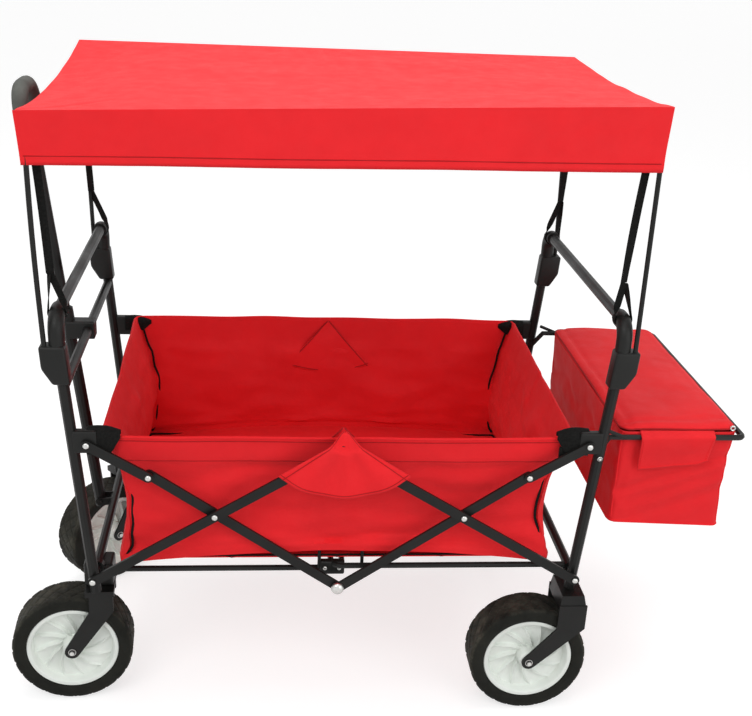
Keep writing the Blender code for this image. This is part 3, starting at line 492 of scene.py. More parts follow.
def plated(name, colour, roughness):
    """Zinc-plated steel for rivets and bolts."""
    n = Nodes(name)
    brushed = n.noise(240.0, 3.0, 0.6)
    normal = n.bump(brushed, 0.00008, 0.5)
    tone = n.blend(n.spread(brushed, 0.3, 0.7), darker(colour, 0.8), colour)
    return n.done(tone, n.spread(brushed, 0.3, 0.7, roughness, roughness + 0.15), normal, 1.0)


def foam(name, colour):
    """Closed-cell foam of a hand grip."""
    n = Nodes(name)
    cells = n.add("ShaderNodeTexVoronoi")
    cells.inputs["Scale"].default_value = 520.0
    n.link(n.place.outputs["Object"], cells.inputs["Vector"])
    cloud = n.noise(30.0, 4.0)
    normal = n.bump(cells.outputs["Distance"], 0.0004, 0.7)
    tone = n.blend(n.spread(cloud, 0.3, 0.7), darker(colour, 0.75), darker(colour, 1.35))
    return n.done(tone, 0.9, normal)


def make_finishes(colours):
    """Make every finish from the user's colours."""
    red = tuple(colours.fabric_red)
    black = tuple(colours.frame_black)
    FINISHES.update({
        "canopy": woven("canopy_cloth", darker(red, 1.06), 300.0, 0.004, 0.66),
        "basket": woven("basket_cloth", red, 220.0, 0.006, 0.74),
        "bag": woven("bag_cloth", darker(red, 0.97), 200.0, 0.005, 0.70),
        "seam": woven("seam_binding", darker(red, 0.50), 300.0, 0.001, 0.8),
        "piping": webbing("black_piping", (0.007, 0.007, 0.007)),
        "strap": webbing("black_webbing", (0.008, 0.008, 0.0075)),
        "steel": coated_steel("black_powder_coat", black),
        "plastic": moulded("black_moulding", (0.009, 0.0092, 0.0085), 0.44, gloss=0.22),
        "white": moulded("white_rim_plastic", tuple(colours.rim_white), 0.38, 180.0),
        "tyre": tyre_rubber("tyre_rubber", (0.0085, 0.0088, 0.0070), (0.105, 0.100, 0.078)),
        "silver": plated("zinc_plate", (0.62, 0.62, 0.60), 0.26),
        "foam": foam("grip_foam", (0.085, 0.088, 0.080)),
    })


# Settings


class WagonColours(bpy.types.PropertyGroup):
    """Colours of the cloth, the frame and the wheels."""

    fabric_red: FloatVectorProperty(name="Fabric", description="Dye of the cloth", subtype="COLOR",
                                    size=3, min=0.0, max=1.0, default=(0.86, 0.014, 0.020))
    frame_black: FloatVectorProperty(name="Frame", description="Powder coat of the tubes",
                                     subtype="COLOR", size=3, min=0.0, max=1.0,
                                     default=(0.0075, 0.0075, 0.0070))
    rim_white: FloatVectorProperty(name="Rims", description="Plastic of the wheel rims",
                                   subtype="COLOR", size=3, min=0.0, max=1.0,
                                   default=(0.82, 0.86, 0.81))


class WagonCloth(bpy.types.PropertyGroup):
    """Sizes of the soft pieces."""

    canopy_sag: FloatProperty(name="Canopy sag", description="How far the roof dips at its ends",
                              unit="LENGTH", default=0.016)
    skirt_lean: FloatProperty(name="Skirt lean", description="How far the skirt's hem hangs inwards",
                              unit="LENGTH", default=0.009)
    hem_height: FloatProperty(name="Basket hem", description="Depth of the folded band at the rim",
                              unit="LENGTH", default=0.048)
    wrinkle: FloatProperty(name="Wrinkles", description="Depth of the creases in the walls",
                           unit="LENGTH", default=0.0075)
    strap_width: FloatProperty(name="Strap width", description="Width of the webbing straps",
                               unit="LENGTH", default=0.012)


class WagonWheels(bpy.types.PropertyGroup):
    """Sizes of the tyres and rims."""

    tread_depth: FloatProperty(name="Tread depth", description="Depth of the grooves", unit="LENGTH",
                               default=0.0013)
    tread_blocks: IntProperty(name="Tread blocks", description="Diamonds round the tyre", default=24,
                              min=8)
    blades: IntProperty(name="Blades", description="Curved blades in a rim", default=12, min=5)
    blade_height: FloatProperty(name="Blade height", description="How far a blade stands off the web",
                                unit="LENGTH", default=0.0085)


# Canopy and its straps


CANOPY_SKIRT = 0.096
CANOPY_DIP = 0.032
CANOPY_HEM_DIP = 0.012


def canopy_height(x, y, half_x, half_y, cloth):
    """How far the roof lies below its highest level."""
    u, v = x / half_x, y / half_y
    end = smooth((abs(x) - half_x + 0.20) / 0.20)
    across = max(0.0, 1 - v ** 2)
    drop = CANOPY_DIP * (1 - u) * (1 - v) / 4
    drop += cloth.canopy_sag * end ** 1.5 * across * (1.0 if x < 0 else 0.55)
    drop += 0.005 * (1 - u ** 2) * across
    inner = smooth((1 - abs(v)) / 0.25)
    drop += 0.0020 * (ripple(x, y * 2.2, 0.0, 5.0, 3.1) + 0.4) * inner
    drop += 0.0010 * (ripple(x, y, 0.0, 17.0, 8.2) + 0.3) * inner
    crease = 0.6 * (x + half_x) - (y + half_y) + 0.012
    drop += 0.0022 * math.exp(-(crease / 0.006) ** 2) * smooth((-x - half_x + 0.16) / 0.10)
    return max(0.0005, drop)


class WAGON_OT_canopy(bpy.types.Operator):
    """Make the roof sheet with its hanging skirt and the hem's stitches"""

    bl_idname = "wagon.canopy"
    bl_label = "Canopy"

    def execute(self, context):
        cloth = context.scene.wagon_cloth
        low, high = node_box("canopy")
        middle = (low + high) / 2
        half_x, half_y = (high.x - low.x) / 2, (high.y - low.y) / 2
        bm = bmesh.new()
        bmesh.ops.create_grid(bm, x_segments=110, y_segments=70, size=0.5)
        bmesh.ops.scale(bm, vec=(2 * half_x - 0.004, 2 * half_y - 0.004, 1.0), verts=bm.verts)
        rings = 14
        drop = CANOPY_SKIRT / rings
        rim = [edge for edge in bm.edges if edge.is_boundary]
        for _ in range(rings):
            rim, _ = carry_on(bm, rim, drop)
        for vert in bm.verts:
            x, y, depth = vert.co.x, vert.co.y, -vert.co.z
            t = depth / CANOPY_SKIRT
            roof = canopy_height(x, y, half_x, half_y, cloth)
            side_x = smooth((abs(x) - half_x + 0.004) / 0.004)
            side_y = smooth((abs(y) - half_y + 0.004) / 0.004)
            wave = 0.0030 * ripple(x, y, depth * 0.35, 6.0, 5.5)
            wave += 0.0012 * ripple(x, y, depth, 20.0, 1.4)
            pull = abs(wave) * t * 1.5 + 0.0012 * math.sin(math.pi * t)
            if t > 0:
                vert.co.x -= math.copysign(cloth.skirt_lean * 0.45 * t ** 1.3 + pull, x) * side_x
                vert.co.y -= math.copysign(cloth.skirt_lean * t ** 1.2 + pull, y) * side_y
            hem_dip = CANOPY_HEM_DIP * (1 - x / half_x) * (1 - y / half_y) / 4
            hem = 0.0010 * ripple(x, y, 0.0, 6.0, 9.0) + hem_dip
            vert.co.z = -roof * (1 - t) - depth - hem * t
            if x < 0 and y < 0:
                corner = smooth((abs(x) - half_x + 0.10) / 0.10)
                corner *= smooth((abs(y) - half_y + 0.10) / 0.10)
                vert.co.x -= 0.005 * corner * (1 - 0.4 * t)
        settle(bm, (middle.x, middle.y, high.z - 0.0005))
        hem_ring = sorted((edge for edge in bm.edges if edge.is_boundary), key=lambda e: e.index)
        outline = self.ordered(hem_ring)
        cover = piece(bm, "canopy_cover", "canopy", "rear_frame", ["canopy"], 55.0, True)
        with_wall(cover, 0.0014)
        folds_up(cover, high.x)
        inset = [self.hem_point(point, middle) for point in outline[::2]]
        stitch = pipe(bmesh.new(), inset, 0.0009, 5, True)
        line = piece(stitch, "canopy_hem_stitch", "seam", "rear_frame", ())
        folds_up(line, high.x)
        return {"FINISHED"}

    @staticmethod
    def ordered(edges):
        """The points of a closed boundary in order."""
        follow = {}
        for edge in edges:
            for vert in edge.verts:
                follow.setdefault(vert, []).append(edge)
        start = edges[0].verts[0]
        points, vert, edge = [], start, follow[start][0]
        while True:
            points.append(vert.co.copy())
            vert = edge.other_vert(vert)
            if vert is start:
                break
            edge = next(e for e in follow[vert] if e is not edge)
        return points

    @staticmethod
    def hem_point(point, middle):
        """A place on the skirt just above its edge."""
        return Vector((point.x + math.copysign(0.0006, point.x - middle.x),
                       point.y + math.copysign(0.0006, point.y - middle.y), point.z + 0.013))


class WAGON_OT_canopy_straps(bpy.types.Operator):
    """Hang the webbing straps that tie the canopy down to the crossbars"""

    bl_idname = "wagon.canopy_straps"
    bl_label = "Canopy straps"

    top_z = 0.985
    edge_y = 0.266
    split_y = 0.2585
    bar_y = 0.2395

    def execute(self, context):
        width = context.scene.wagon_cloth.strap_width
        for end, sx, side, sy in CORNERS:
            top_x, split_x = self.places[end, side]
            low, high = node_box(f"{end}_upper_crossbar")
            bar_x, bar_z = (low.x + high.x) / 2, (low.z + high.z) / 2
            loop = (high.z - low.z) / 2 + 0.0062
            top = Vector((along(top_x), sy * self.edge_y, self.top_z))
            split = Vector((along(split_x), sy * self.split_y, bar_z + 0.066))
            points, widths = [], []
            for i in range(15):
                t = i / 14
                slack = 0.004 * math.sin(math.pi * t)
                points.append(top.lerp(split, t) + Vector((0.0, -sy * slack, 0.0)))
                turn = math.radians(25) * smooth((t - 0.6) / 0.4)
                widths.append((math.cos(turn), math.sin(turn), 0.0))
            upper = ribbon(points, widths, width, 0.0015)
            piece(upper, f"{end}_strap_{side}", "strap", f"{end}_frame")
            points, widths = self.loop(sx, split, (bar_x, sy * self.bar_y, bar_z), loop)
            lower = ribbon(points, widths, width * 0.9, 0.0014)
            piece(lower, f"{end}_strap_loop_{side}", "strap", f"{end}_frame")
        return {"FINISHED"}

    @staticmethod
    def loop(sx, split, bar, radius):
        """The strap's way down one leg, under the crossbar and up the other leg."""
        def beside(degrees):
            angle = math.radians(degrees)
            out, up = radius * math.cos(angle), radius * math.sin(angle)
            return Vector((bar[0] + sx * out, bar[1], bar[2] + up))

        points, widths = [], []
        for i in range(10):
            t = i / 9
            points.append(split.lerp(beside(165), t))
            turn = math.pi / 2 * smooth((t - 0.62) / 0.38)
            widths.append((math.cos(turn), math.sin(turn), 0.0))
        for i in range(1, 15):
            points.append(beside(165 + 210 * i / 14))
            widths.append((0.0, 1.0, 0.0))
        for i in range(1, 9):
            t = i / 8
            points.append(beside(15).lerp(split + Vector((sx * 0.0024, 0.0, 0.0)), t))
            widths.append((-0.7 * smooth(t), 1.0, 0.0))
        return points, widths

    places = {("rear", "near"): (0.434, 0.423), ("rear", "far"): (0.456, 0.449),
              ("front", "near"): (-0.450, -0.438), ("front", "far"): (-0.460, -0.452)}


# Basket


class WAGON_OT_basket(bpy.types.Operator):
    """Make the fabric tub: sagging walls, the hem band, piping and the floor cushion"""

    bl_idname = "wagon.basket"
    bl_label = "Basket"

    corner = 0.016

    def execute(self, context):
        cloth = context.scene.wagon_cloth
        low, high = BASKET_LOW, BASKET_HIGH
        half_x, half_y = (high.x - low.x) / 2, (high.y - low.y) / 2
        floor_x, floor_y = half_x - 0.017, half_y - 0.0085
        depth = high.z - low.z
        count, rings = 460, 40
        bm = bmesh.new()
        rim = outline_ring(bm, half_x, half_y, self.corner, count)
        for _ in range(rings):
            rim, _ = carry_on(bm, rim, 1.0 / rings)
        close_off(bm, rim)
        sizes = (half_x, half_y, floor_x, floor_y, depth, cloth)
        for vert in bm.verts:
            vert.co = self.place(vert.co, *sizes)
        settle(bm, (MIDDLE_X, 0.0, high.z))
        tub = piece(bm, "basket_tub", "basket", "rear_frame", ["basket"], 60.0, True)
        with_wall(tub, 0.0018)
        folds_up(tub, high.x)
        self.trim(*sizes)
        self.floor()
        return {"FINISHED"}

    @staticmethod
    def place(co, half_x, half_y, floor_x, floor_y, depth, cloth):
        """Where a point of the straight tub really hangs."""
        x, y, s = co.x, co.y, -co.z
        on_long = abs(y) / half_y > abs(x) / half_x
        draw = math.sin(math.pi * min(1.0, s * 1.05)) if s < 0.95 else 0.0
        sx = mix(1.0, floor_x / half_x, s) - 0.020 * draw / half_x
        sy = mix(1.0, floor_y / half_y, s) - 0.006 * draw / half_y
        nx, ny = x * sx, y * sy
        middle = 1 - (x / half_x) ** 2 if on_long else 1 - (y / half_y) ** 2
        hem = cloth.hem_height / depth
        below = smooth((s - hem) / 0.05)
        crease = ripple(x * 1.6, y * 1.6, s * 0.55, 5.0, 2.0) + 0.6 * ripple(x, y, s * 0.6, 15.0, 7.0)
        vertical = ripple(x, y, 0.0, 19.0, 4.0) * hump(s, hem + 0.03, 0.16)
        slant = math.sin((x * (1 if y < 0 else -1) * 26 + s * 7.0)) * hump(s, 0.62, 0.30) * 0.35
        inward = cloth.wrinkle * (0.9 + crease + 0.9 * vertical + slant) * (0.22 + 0.78 * below)
        inward *= 1.0 if s < 0.93 else 0.4
        inward = max(0.0, inward) + 0.0012 * hump(s, hem, 0.010)
        if on_long:
            ny -= math.copysign(inward, y)
            lift = 0.026 * middle * smooth((s - 0.72) / 0.28)
        else:
            nx -= math.copysign(inward, x)
            lift = 0.012 * middle * smooth((s - 0.72) / 0.28)
        if s >= 0.999:
            lift *= 0.9
        sag = -0.0085 * y / half_y
        dip = sag + 0.002 * middle * (1 if y < 0 else -1) + 0.0022 * ripple(x, y, 0.0, 9.0, 3.3)
        dip *= (1 - s) ** 2
        return Vector((nx, ny, -s * depth + lift - dip + 0.0004 * s))

    def edge_line(self, s, *sizes, count=260, out=0.0):
        """Points round the tub at one depth, a little off its surface."""
        half_x, half_y = sizes[:2]
        points = []
        for x, y in rounded_outline(half_x, half_y, self.corner, count):
            spot = self.place(Vector((x, y, -s)), *sizes)
            away = Vector((x / half_x, y / half_y, 0.0))
            away = Vector((away.x ** 5, away.y ** 5, 0.0)).normalized()
            spot += away * out
            points.append(spot + Vector((MIDDLE_X, 0.0, BASKET_HIGH.z)))
        return points

    def trim(self, *sizes):
        """The rim binding, the hem's stitch line and the black corner piping."""
        half_x, half_y, _, _, depth, cloth = sizes
        bm = pipe(bmesh.new(), self.edge_line(0.004, *sizes), 0.0022, 6, True)
        basket_trim(bm, "basket_rim_binding", "basket")
        hem = cloth.hem_height / depth
        bm = pipe(bmesh.new(), self.edge_line(hem, *sizes, out=0.0004), 0.0009, 5, True)
        pipe(bm, self.edge_line(0.035, *sizes, out=0.0004), 0.0008, 5, True)
        basket_trim(bm, "basket_hem_stitch", "seam")
        bm = bmesh.new()
        for _, sx, _, sy in CORNERS:
            points = []
            for i in range(24):
                s = mix(0.02, 0.95, i / 23)
                corner = Vector((sx * (half_x - 0.0055), sy * (half_y - 0.0055), -s))
                spot = self.place(corner, *sizes)
                spot -= Vector((sx, sy, 0.0)) * 0.0032
                points.append(spot + Vector((MIDDLE_X, 0.0, BASKET_HIGH.z)))
            pipe(bm, points, 0.0021, 6)
        basket_trim(bm, "basket_corner_piping", "piping")

    @staticmethod
    def floor():
        """The quilted floor cushion with its black piping."""
        low, high = node_box("floor_mat")
        half_x, half_y = (high.x - low.x) / 2 - 0.004, (high.y - low.y) / 2 - 0.010
        bm = bmesh.new()
        bmesh.ops.create_grid(bm, x_segments=96, y_segments=64, size=0.5)
        bmesh.ops.scale(bm, vec=(2 * half_x, 2 * half_y, 1.0), verts=bm.verts)
        rim = [edge for edge in bm.edges if edge.is_boundary]
        skirt, _ = carry_on(bm, rim, 0.007)
        bmesh.ops.contextual_create(bm, geom=skirt)
        seams = (-0.5, 0.0, 0.5)
        for vert in bm.verts:
            if vert.co.z < -0.001:
                continue
            x, y = vert.co.x, vert.co.y
            groove = sum(hump(x, seam * half_x, 0.006) for seam in seams)
            edge = smooth((half_x - abs(x)) / 0.02) * smooth((half_y - abs(y)) / 0.02)
            height = 0.0014 * ripple(x, y, 0.0, 8.0, 2.0) - 0.0035 * groove
            vert.co.z = height - 0.0028 * (1 - edge) - 0.0010
        settle(bm, (MIDDLE_X, 0.0, high.z))
        mat = piece(bm, "floor_cushion", "basket", "rear_frame", ["floor_mat"], 60.0, True)
        folds_up(mat, high.x)
        line = [(MIDDLE_X + x, y, high.z - 0.0022) for x, y in
                rounded_outline(half_x + 0.0008, half_y + 0.0008, 0.004, 160)]
        bm = pipe(bmesh.new(), line, 0.0020, 6, True)
        line = piece(bm, "floor_piping", "piping", "rear_frame", ())
        folds_up(line, high.x)


class WAGON_OT_flaps(bpy.types.Operator):
    """Sew the fan-shaped flaps over the upper centre pivots"""

    bl_idname = "wagon.flaps"
    bl_label = "Centre flaps"

    spread = math.radians(57.5)

    def execute(self, context):
        bar_face = -node_box("rear_bar_near")[0].y
        for side, sy in SIDES.items():
            flap = cloth_grid(44, 36, lambda u, v: self.outer_spot(2 * u - 1, v, sy, bar_face))
            flap = piece(flap, f"centre_flap_{side}", "basket", "rear_frame", (), 60.0, True)
            with_wall(flap, 0.0016, 0.0)
            patch = cloth_grid(30, 24, lambda u, v: self.inner_spot(2 * u - 1, v, sy))
            name = f"inner_patch_{side}"
            patch = piece(patch, name, "basket", "rear_frame", (), 60.0, True)
            with_wall(patch, 0.0010, 0.0)
            for obj in (flap, patch):
                folds_up(obj, BASKET_HIGH.x)
            seam = self.outline(lambda u, v: self.outer_spot(u, v, sy, bar_face, 0.0012), 0.93, 0.955,
                                0.0008, 5)
            lines = basket_trim(seam, f"centre_flap_seam_{side}", "seam")
            sewn = self.outline(lambda u, v: self.inner_spot(u, v, sy), 0.96, 0.965, 0.0014, 6)
            rim = basket_trim(sewn, f"inner_patch_seam_{side}", "seam")
        return {"FINISHED"}

    @staticmethod
    def outline(spot, side, foot, radius, sides):
        """The seam down both sides of a fan and along its foot."""
        bm = bmesh.new()
        for edge in (-side, side):
            pipe(bm, [spot(edge, i / 20) for i in range(21)], radius, sides)
        pipe(bm, [spot(-1 + i / 12, foot) for i in range(25)], radius, sides)
        return bm

    def outer_spot(self, u, v, sy, bar_face, proud=0.0):
        """A point of the outer fan: u across it from -1 to 1, v down from its peak at the rim."""
        angle = u * self.spread
        reach = 0.002 + mix(0.102, 0.123, u * u) * v
        x = reach * math.sin(angle) + 0.004
        z = BASKET_HIGH.z + 0.004 - reach * math.cos(angle)
        over = bar_face + 0.0050
        wrap = smooth(v / 0.26)
        lift = mix(0.2590, over, wrap)
        sides = smooth((abs(u) - 0.80) / 0.20)
        lift -= 0.0022 * sides * wrap
        lift += 0.0016 * (1 + ripple(x, sy, z, 24.0, 6.0)) * (1 - sides)
        lift += 0.0020 * math.cos(u * 9.5) * smooth(v * 1.5) * (1 - sides)
        return Vector((along(x), sy * (lift + proud), z))

    @staticmethod
    def inner_spot(u, v, sy):
        """A point of the patch sewn on the inner face of the wall behind the flap."""
        angle = u * math.radians(43)
        reach = 0.002 + mix(0.104, 0.122, u * u) * v
        x = reach * math.sin(angle) + 0.002
        z = BASKET_HIGH.z + 0.006 - reach * math.cos(angle)
        face = mix(0.2515, 0.2415, smooth(v / 0.5)) - 0.0012 * (1 + ripple(x, sy, z, 22.0, 3.0))
        return Vector((along(x), sy * face, z))


class WAGON_OT_corner_trims(bpy.types.Operator):
    """Fold the black covers over the basket's upper corners and add the tab beside one"""

    bl_idname = "wagon.corner_trims"
    bl_label = "Corner trims"

    def execute(self, context):
        for end, sx, side, sy in CORNERS:
            bm = cloth_grid(18, 28, lambda u, v: self.boot(u, 2 * v - 1, sx, sy))
            area = sum(face.calc_area() for face in bm.faces)
            name = f"{end}_corner_boot_{side}"
            boot = piece(bm, name, "strap", f"{end}_frame", (), 60.0)
            with_wall(boot, 0.0018, 0.0)
        bm = rounded_block((along(0.352), -0.2650, 0.478), (along(0.366), -0.2590, 0.500), 0.0015)
        piece(bm, "near_side_tab", "strap", "rear_frame", ())
        return {"FINISHED"}

    @staticmethod
    def boot(u, v, sx, sy):
        """A point of the black corner cover: u towards the post, v across the basket's rim."""
        half = mix(0.0050, 0.0115, smooth(u / 0.45))
        top = BASKET_HIGH.z + mix(0.002, 0.009, math.sin(math.pi * min(1.0, u * 1.1) / 1.4))
        bend = min(1.0, abs(v) / 0.5)
        straight = max(0.0, (abs(v) - 0.5) / 0.5)
        drop = (0.030 if v * sy > 0 else 0.014) * smooth((u + 0.15) / 0.5)
        across = half * math.sin(math.pi / 2 * bend) * math.copysign(1.0, v)
        z = top - half * (1 - math.cos(math.pi / 2 * bend)) - drop * straight
        crumple = 0.0012 * ripple(u * 0.05, v * 0.03, z, 60.0, 4.0)
        return Vector((along(sx * mix(0.347, 0.398, u)), sy * 0.2570 + across + crumple, z))


# Wheels


def wheel_body(tag):
    """The body that a wheel turns with."""
    return "_wheel_".join(tag.split("_"))


def wheel_place(tag):
    """The wheel's centre and the way its axle points."""
    joint = JOINTS[wheel_body(tag) + "_spin"]
    axle = Vector(joint["axis"]).normalized()
    turn = Vector((0, 1, 0)).rotation_difference(axle).to_matrix().to_4x4()
    return Matrix.Translation(joint["pos_m"]) @ turn


WHEEL_RADIUS = 0.1015
TYRE_HALF = 0.032
RIM_RADIUS = 0.0772
WHEELS = [f"{end}_{side}" for end in ENDS for side in SIDES]


class WAGON_OT_tyres(bpy.types.Operator):
    """Cut diamond tread into the wide tyres"""

    bl_idname = "wagon.tyres"
    bl_label = "Tyres"

    def execute(self, context):
        wheels = context.scene.wagon_wheels
        for tag in WHEELS:
            bm = self.tyre(wheels)
            bm.transform(wheel_place(tag))
            piece(bm, f"{tag}_tread_tyre", "tyre", wheel_body(tag), [f"{tag}_tyre"])
        return {"FINISHED"}

    def tyre(self, wheels):
        """One tyre about the Y axis, with its tread weight stored on it."""
        profile = [(RIM_RADIUS, TYRE_HALF - 0.0035), (RIM_RADIUS + 0.004, TYRE_HALF - 0.001),
                   (RIM_RADIUS + 0.009, TYRE_HALF), (WHEEL_RADIUS - 0.010, TYRE_HALF)]
        round_off = 0.0085
        profile += [(WHEEL_RADIUS - 0.0005 - round_off * (1 - math.sin(a)),
                     TYRE_HALF - round_off * (1 - math.cos(a)))
                    for a in (math.radians(90 * i / 7) for i in range(1, 8))]
        tread_half = TYRE_HALF - round_off
        rows = 26
        crown = WHEEL_RADIUS - 0.0005
        profile += [(crown, mix(tread_half, -tread_half, i / rows)) for i in range(1, rows)]
        profile += [(radius, -height) for radius, height in reversed(profile[:11])]
        bm = turned(profile + [profile[0]], 416)
        layer = bm.verts.layers.float.new("tread")
        for vert in bm.verts:
            radius = math.hypot(vert.co.x, vert.co.z)
            face = smooth((radius - WHEEL_RADIUS + 0.0060) / 0.004)
            if face <= 0:
                continue
            around = math.atan2(vert.co.z, vert.co.x) / (2 * math.pi) * wheels.tread_blocks
            across = vert.co.y / TYRE_HALF * 1.25
            groove = max(self.groove(around + across), self.groove(around - across))
            scale = (radius - groove * wheels.tread_depth * face) / radius
            vert.co.x *= scale
            vert.co.z *= scale
            vert[layer] = face
        return bm

    @staticmethod
    def groove(value, width=0.10):
        """1 in the bottom of a groove, 0 on the blocks."""
        away = abs(value - round(value))
        return 1 - smooth((away - width * 0.45) / (width * 0.55))


class WAGON_OT_rims(bpy.types.Operator):
    """Mould the white rims with swept fan blades, hub and cap"""

    bl_idname = "wagon.rims"
    bl_label = "Rims"

    hub = 0.0160
    web = 0.0115
    sweep = math.radians(40)

    def execute(self, context):
        wheels = context.scene.wagon_wheels
        for tag in WHEELS:
            bm = self.rim(wheels)
            bm.transform(wheel_place(tag))
            piece(bm, f"{tag}_fan_rim", "white", wheel_body(tag), [f"{tag}_rim"], 40.0)
        return {"FINISHED"}

    def rim(self, wheels):
        """One rim about the Y axis: a flat lip, a fan-shaped web and a hub."""
        outer = RIM_RADIUS - 0.0003
        half = TYRE_HALF - 0.0040
        lip = outer - 0.0085
        dish = lip - 0.0030
        hub = self.hub
        side = [(hub - 0.0050, half + 0.0060), (hub - 0.0022, half + 0.0052),
                (hub - 0.0008, half + 0.0036), (hub, half), (hub + 0.0015, self.web + 0.004)]
        side += [(mix(hub + 0.003, dish, i / 13), self.web) for i in range(14)]
        side += [(lip, half - 0.0022), (lip + 0.0012, half - 0.0004), (lip + 0.0022, half),
                 (outer - 0.0012, half), (outer, half - 0.0014)]
        bore = 0.0046
        profile = [(bore, half + 0.0060)] + side
        profile += [(radius, -height) for radius, height in reversed(profile)]
        bm = turned(profile + [profile[0]], 24 * wheels.blades)
        whole = math.log(dish / hub)
        for vert in bm.verts:
            radius = math.hypot(vert.co.x, vert.co.z)
            angle = math.atan2(vert.co.z, vert.co.x)
            if abs(abs(vert.co.y) - self.web) < 0.0001 and hub + 0.0025 < radius < dish + 0.0005:
                way = math.copysign(1.0, vert.co.y)
                turn = angle / (2 * math.pi) * wheels.blades
                rise = self.fan(turn % 1.0, (radius - hub) / (dish - hub))
                vert.co.y += way * rise * wheels.blade_height
            swept = angle + self.sweep * math.log(max(hub, min(dish, radius)) / hub) / whole
            vert.co.x = radius * math.cos(swept)
            vert.co.z = radius * math.sin(swept)
        bmesh.ops.recalc_face_normals(bm, faces=bm.faces)
        return bm

    @staticmethod
    def fan(turn, t):
        """Height over the web from one blade to the next: a steep edge and a long slope."""
        crest = hump(turn, 0.10, 0.075) + hump(turn, 1.10, 0.075)
        slope = 0.62 * (1 - smooth((turn - 0.08) / 0.92)) if turn > 0.04 else 0.62 * smooth(turn / 0.04)
        fade = smooth(t / 0.16) * (1 - 0.55 * smooth((t - 0.62) / 0.38))
        return (0.55 * crest + slope) * fade * mix(1.15, 0.75, t)


# Forks and small hardware


def dome(radius, height):
    """A rivet head about Z, open side down on zero."""
    points = [(0.0, height), (radius * 0.42, height * 0.96), (radius * 0.72, height * 0.80),
              (radius * 0.92, height * 0.48), (radius, height * 0.16), (radius, -0.0004),
              (0.0, -0.0004)]
    return turned(points, 24, "Z")


def hex_bolt(radius, height):
    """A hexagon head with a washer about Z."""
    washer = radius * 1.5
    bm = turned([(0.0, 0.0012), (radius * 1.45, 0.0012), (washer, 0.0008), (washer, -0.0004),
                 (0.0, -0.0004)], 24, "Z")
    head = bmesh.new()
    bmesh.ops.create_cone(head, cap_ends=True, segments=6, radius1=radius, radius2=radius, depth=height)
    bmesh.ops.translate(head, vec=(0, 0, height / 2 + 0.0008), verts=head.verts)
    edges = [edge for edge in head.edges if all(vert.co.z > height * 0.9 for vert in edge.verts)]
    soften(head, edges, height * 0.28, 2)
    mesh = bpy.data.meshes.new("head")
    head.to_mesh(mesh)
    head.free()
    bm.from_mesh(mesh)
    bpy.data.meshes.remove(mesh)
    return bm


def set_on(bm, at, outward):
    """Turn a head made about Z to look outwards at a place."""
    turn = Vector((0, 0, 1)).rotation_difference(Vector(outward)).to_matrix().to_4x4()
    bm.transform(Matrix.Translation(at) @ turn)
    return bm


class WAGON_OT_rivets(bpy.types.Operator):
    """Set the bright rivets and bolts of the scissor, posts and axles"""

    bl_idname = "wagon.rivets"
    bl_label = "Rivets and bolts"

    outer_face = 0.2820
    second_face = 0.2765
    centre_face = 0.2715
    post_face = 0.2702
    axle_face = 0.0388

    def execute(self, context):
        outer, second, gap = self.outer_face, self.second_face, 0.0003
        pivots = {
            ("rear", "low"): (JOINTS["fold"]["pos_m"], outer + gap, "rear_frame"),
            ("front", "low"): (JOINTS["front_frame_pivot"]["pos_m"], second + gap, "front_frame"),
            ("rear", "cross"): (JOINTS["rear_brace_pivot"]["pos_m"], outer, "rear_bars"),
            ("front", "cross"): (JOINTS["front_brace_pivot"]["pos_m"], second, "front_bars"),
            ("rear", "top"): (JOINTS["rear_link_pivot"]["pos_m"], second + gap, "rear_frame"),
            ("front", "top"): (JOINTS["front_link_pivot"]["pos_m"], second + gap, "front_frame"),
            ("rear", "link"): (self.link_foot("rear"), second, "rear_links"),
            ("front", "link"): (self.link_foot("front"), second, "front_links"),
        }
        for (end, place), (spot, depth, body) in pivots.items():
            for side, sy in SIDES.items():
                bm = set_on(dome(0.0052, 0.0030), (spot[0], sy * depth, spot[2]), (0, sy, 0))
                piece(bm, f"{end}_{place}_rivet_{side}", "silver", body, ())
        self.centre_bolts()
        self.axle_bolts()
        self.bag_rivets()
        return {"FINISHED"}

    @staticmethod
    def link_foot(end):
        """Where the short link meets its brace."""
        low, high = node_box(f"{end}_link_near")
        x = low.x + HALF_BAR if end == "rear" else high.x - HALF_BAR
        return (x, 0.0, low.z + HALF_BAR)

    def centre_bolts(self):
        """The larger bolts at the low centre."""
        height = node_box("rear_brace_near")[0].z + 0.0094
        for side, sy in SIDES.items():
            bm = set_on(dome(0.0108, 0.0072), (along(0.0), sy * self.centre_face, height), (0, sy, 0))
            piece(bm, f"low_centre_bolt_{side}", "silver", "rear_braces", ())

    def axle_bolts(self):
        """The bolt heads at both ends of every axle."""
        for tag in WHEELS:
            end, side = tag.split("_")
            place = wheel_place(tag)
            body = "rear_frame" if end == "rear" else f"front_caster_{side}"
            for way in (-1.0, 1.0):
                bm = hex_bolt(0.0044, 0.0042)
                turn = Matrix.Rotation(-math.pi / 2 * way, 4, "X")
                bm.transform(place @ Matrix.Translation((0, way * self.axle_face, 0)) @ turn)
                name = "inner" if (way > 0) == (side == "near") else "outer"
                piece(bm, f"{tag}_axle_bolt_{name}", "silver", body, ())

    def bag_rivets(self):
        """The rivets that carry the bag's wire frame."""
        spot = JOINTS["bag_hinge"]["pos_m"]
        for side, sy in SIDES.items():
            bm = set_on(dome(0.0048, 0.0032), (spot[0], sy * self.post_face, spot[2]), (0, sy, 0))
            piece(bm, f"bag_rivet_{side}", "silver", "rear_frame", ())


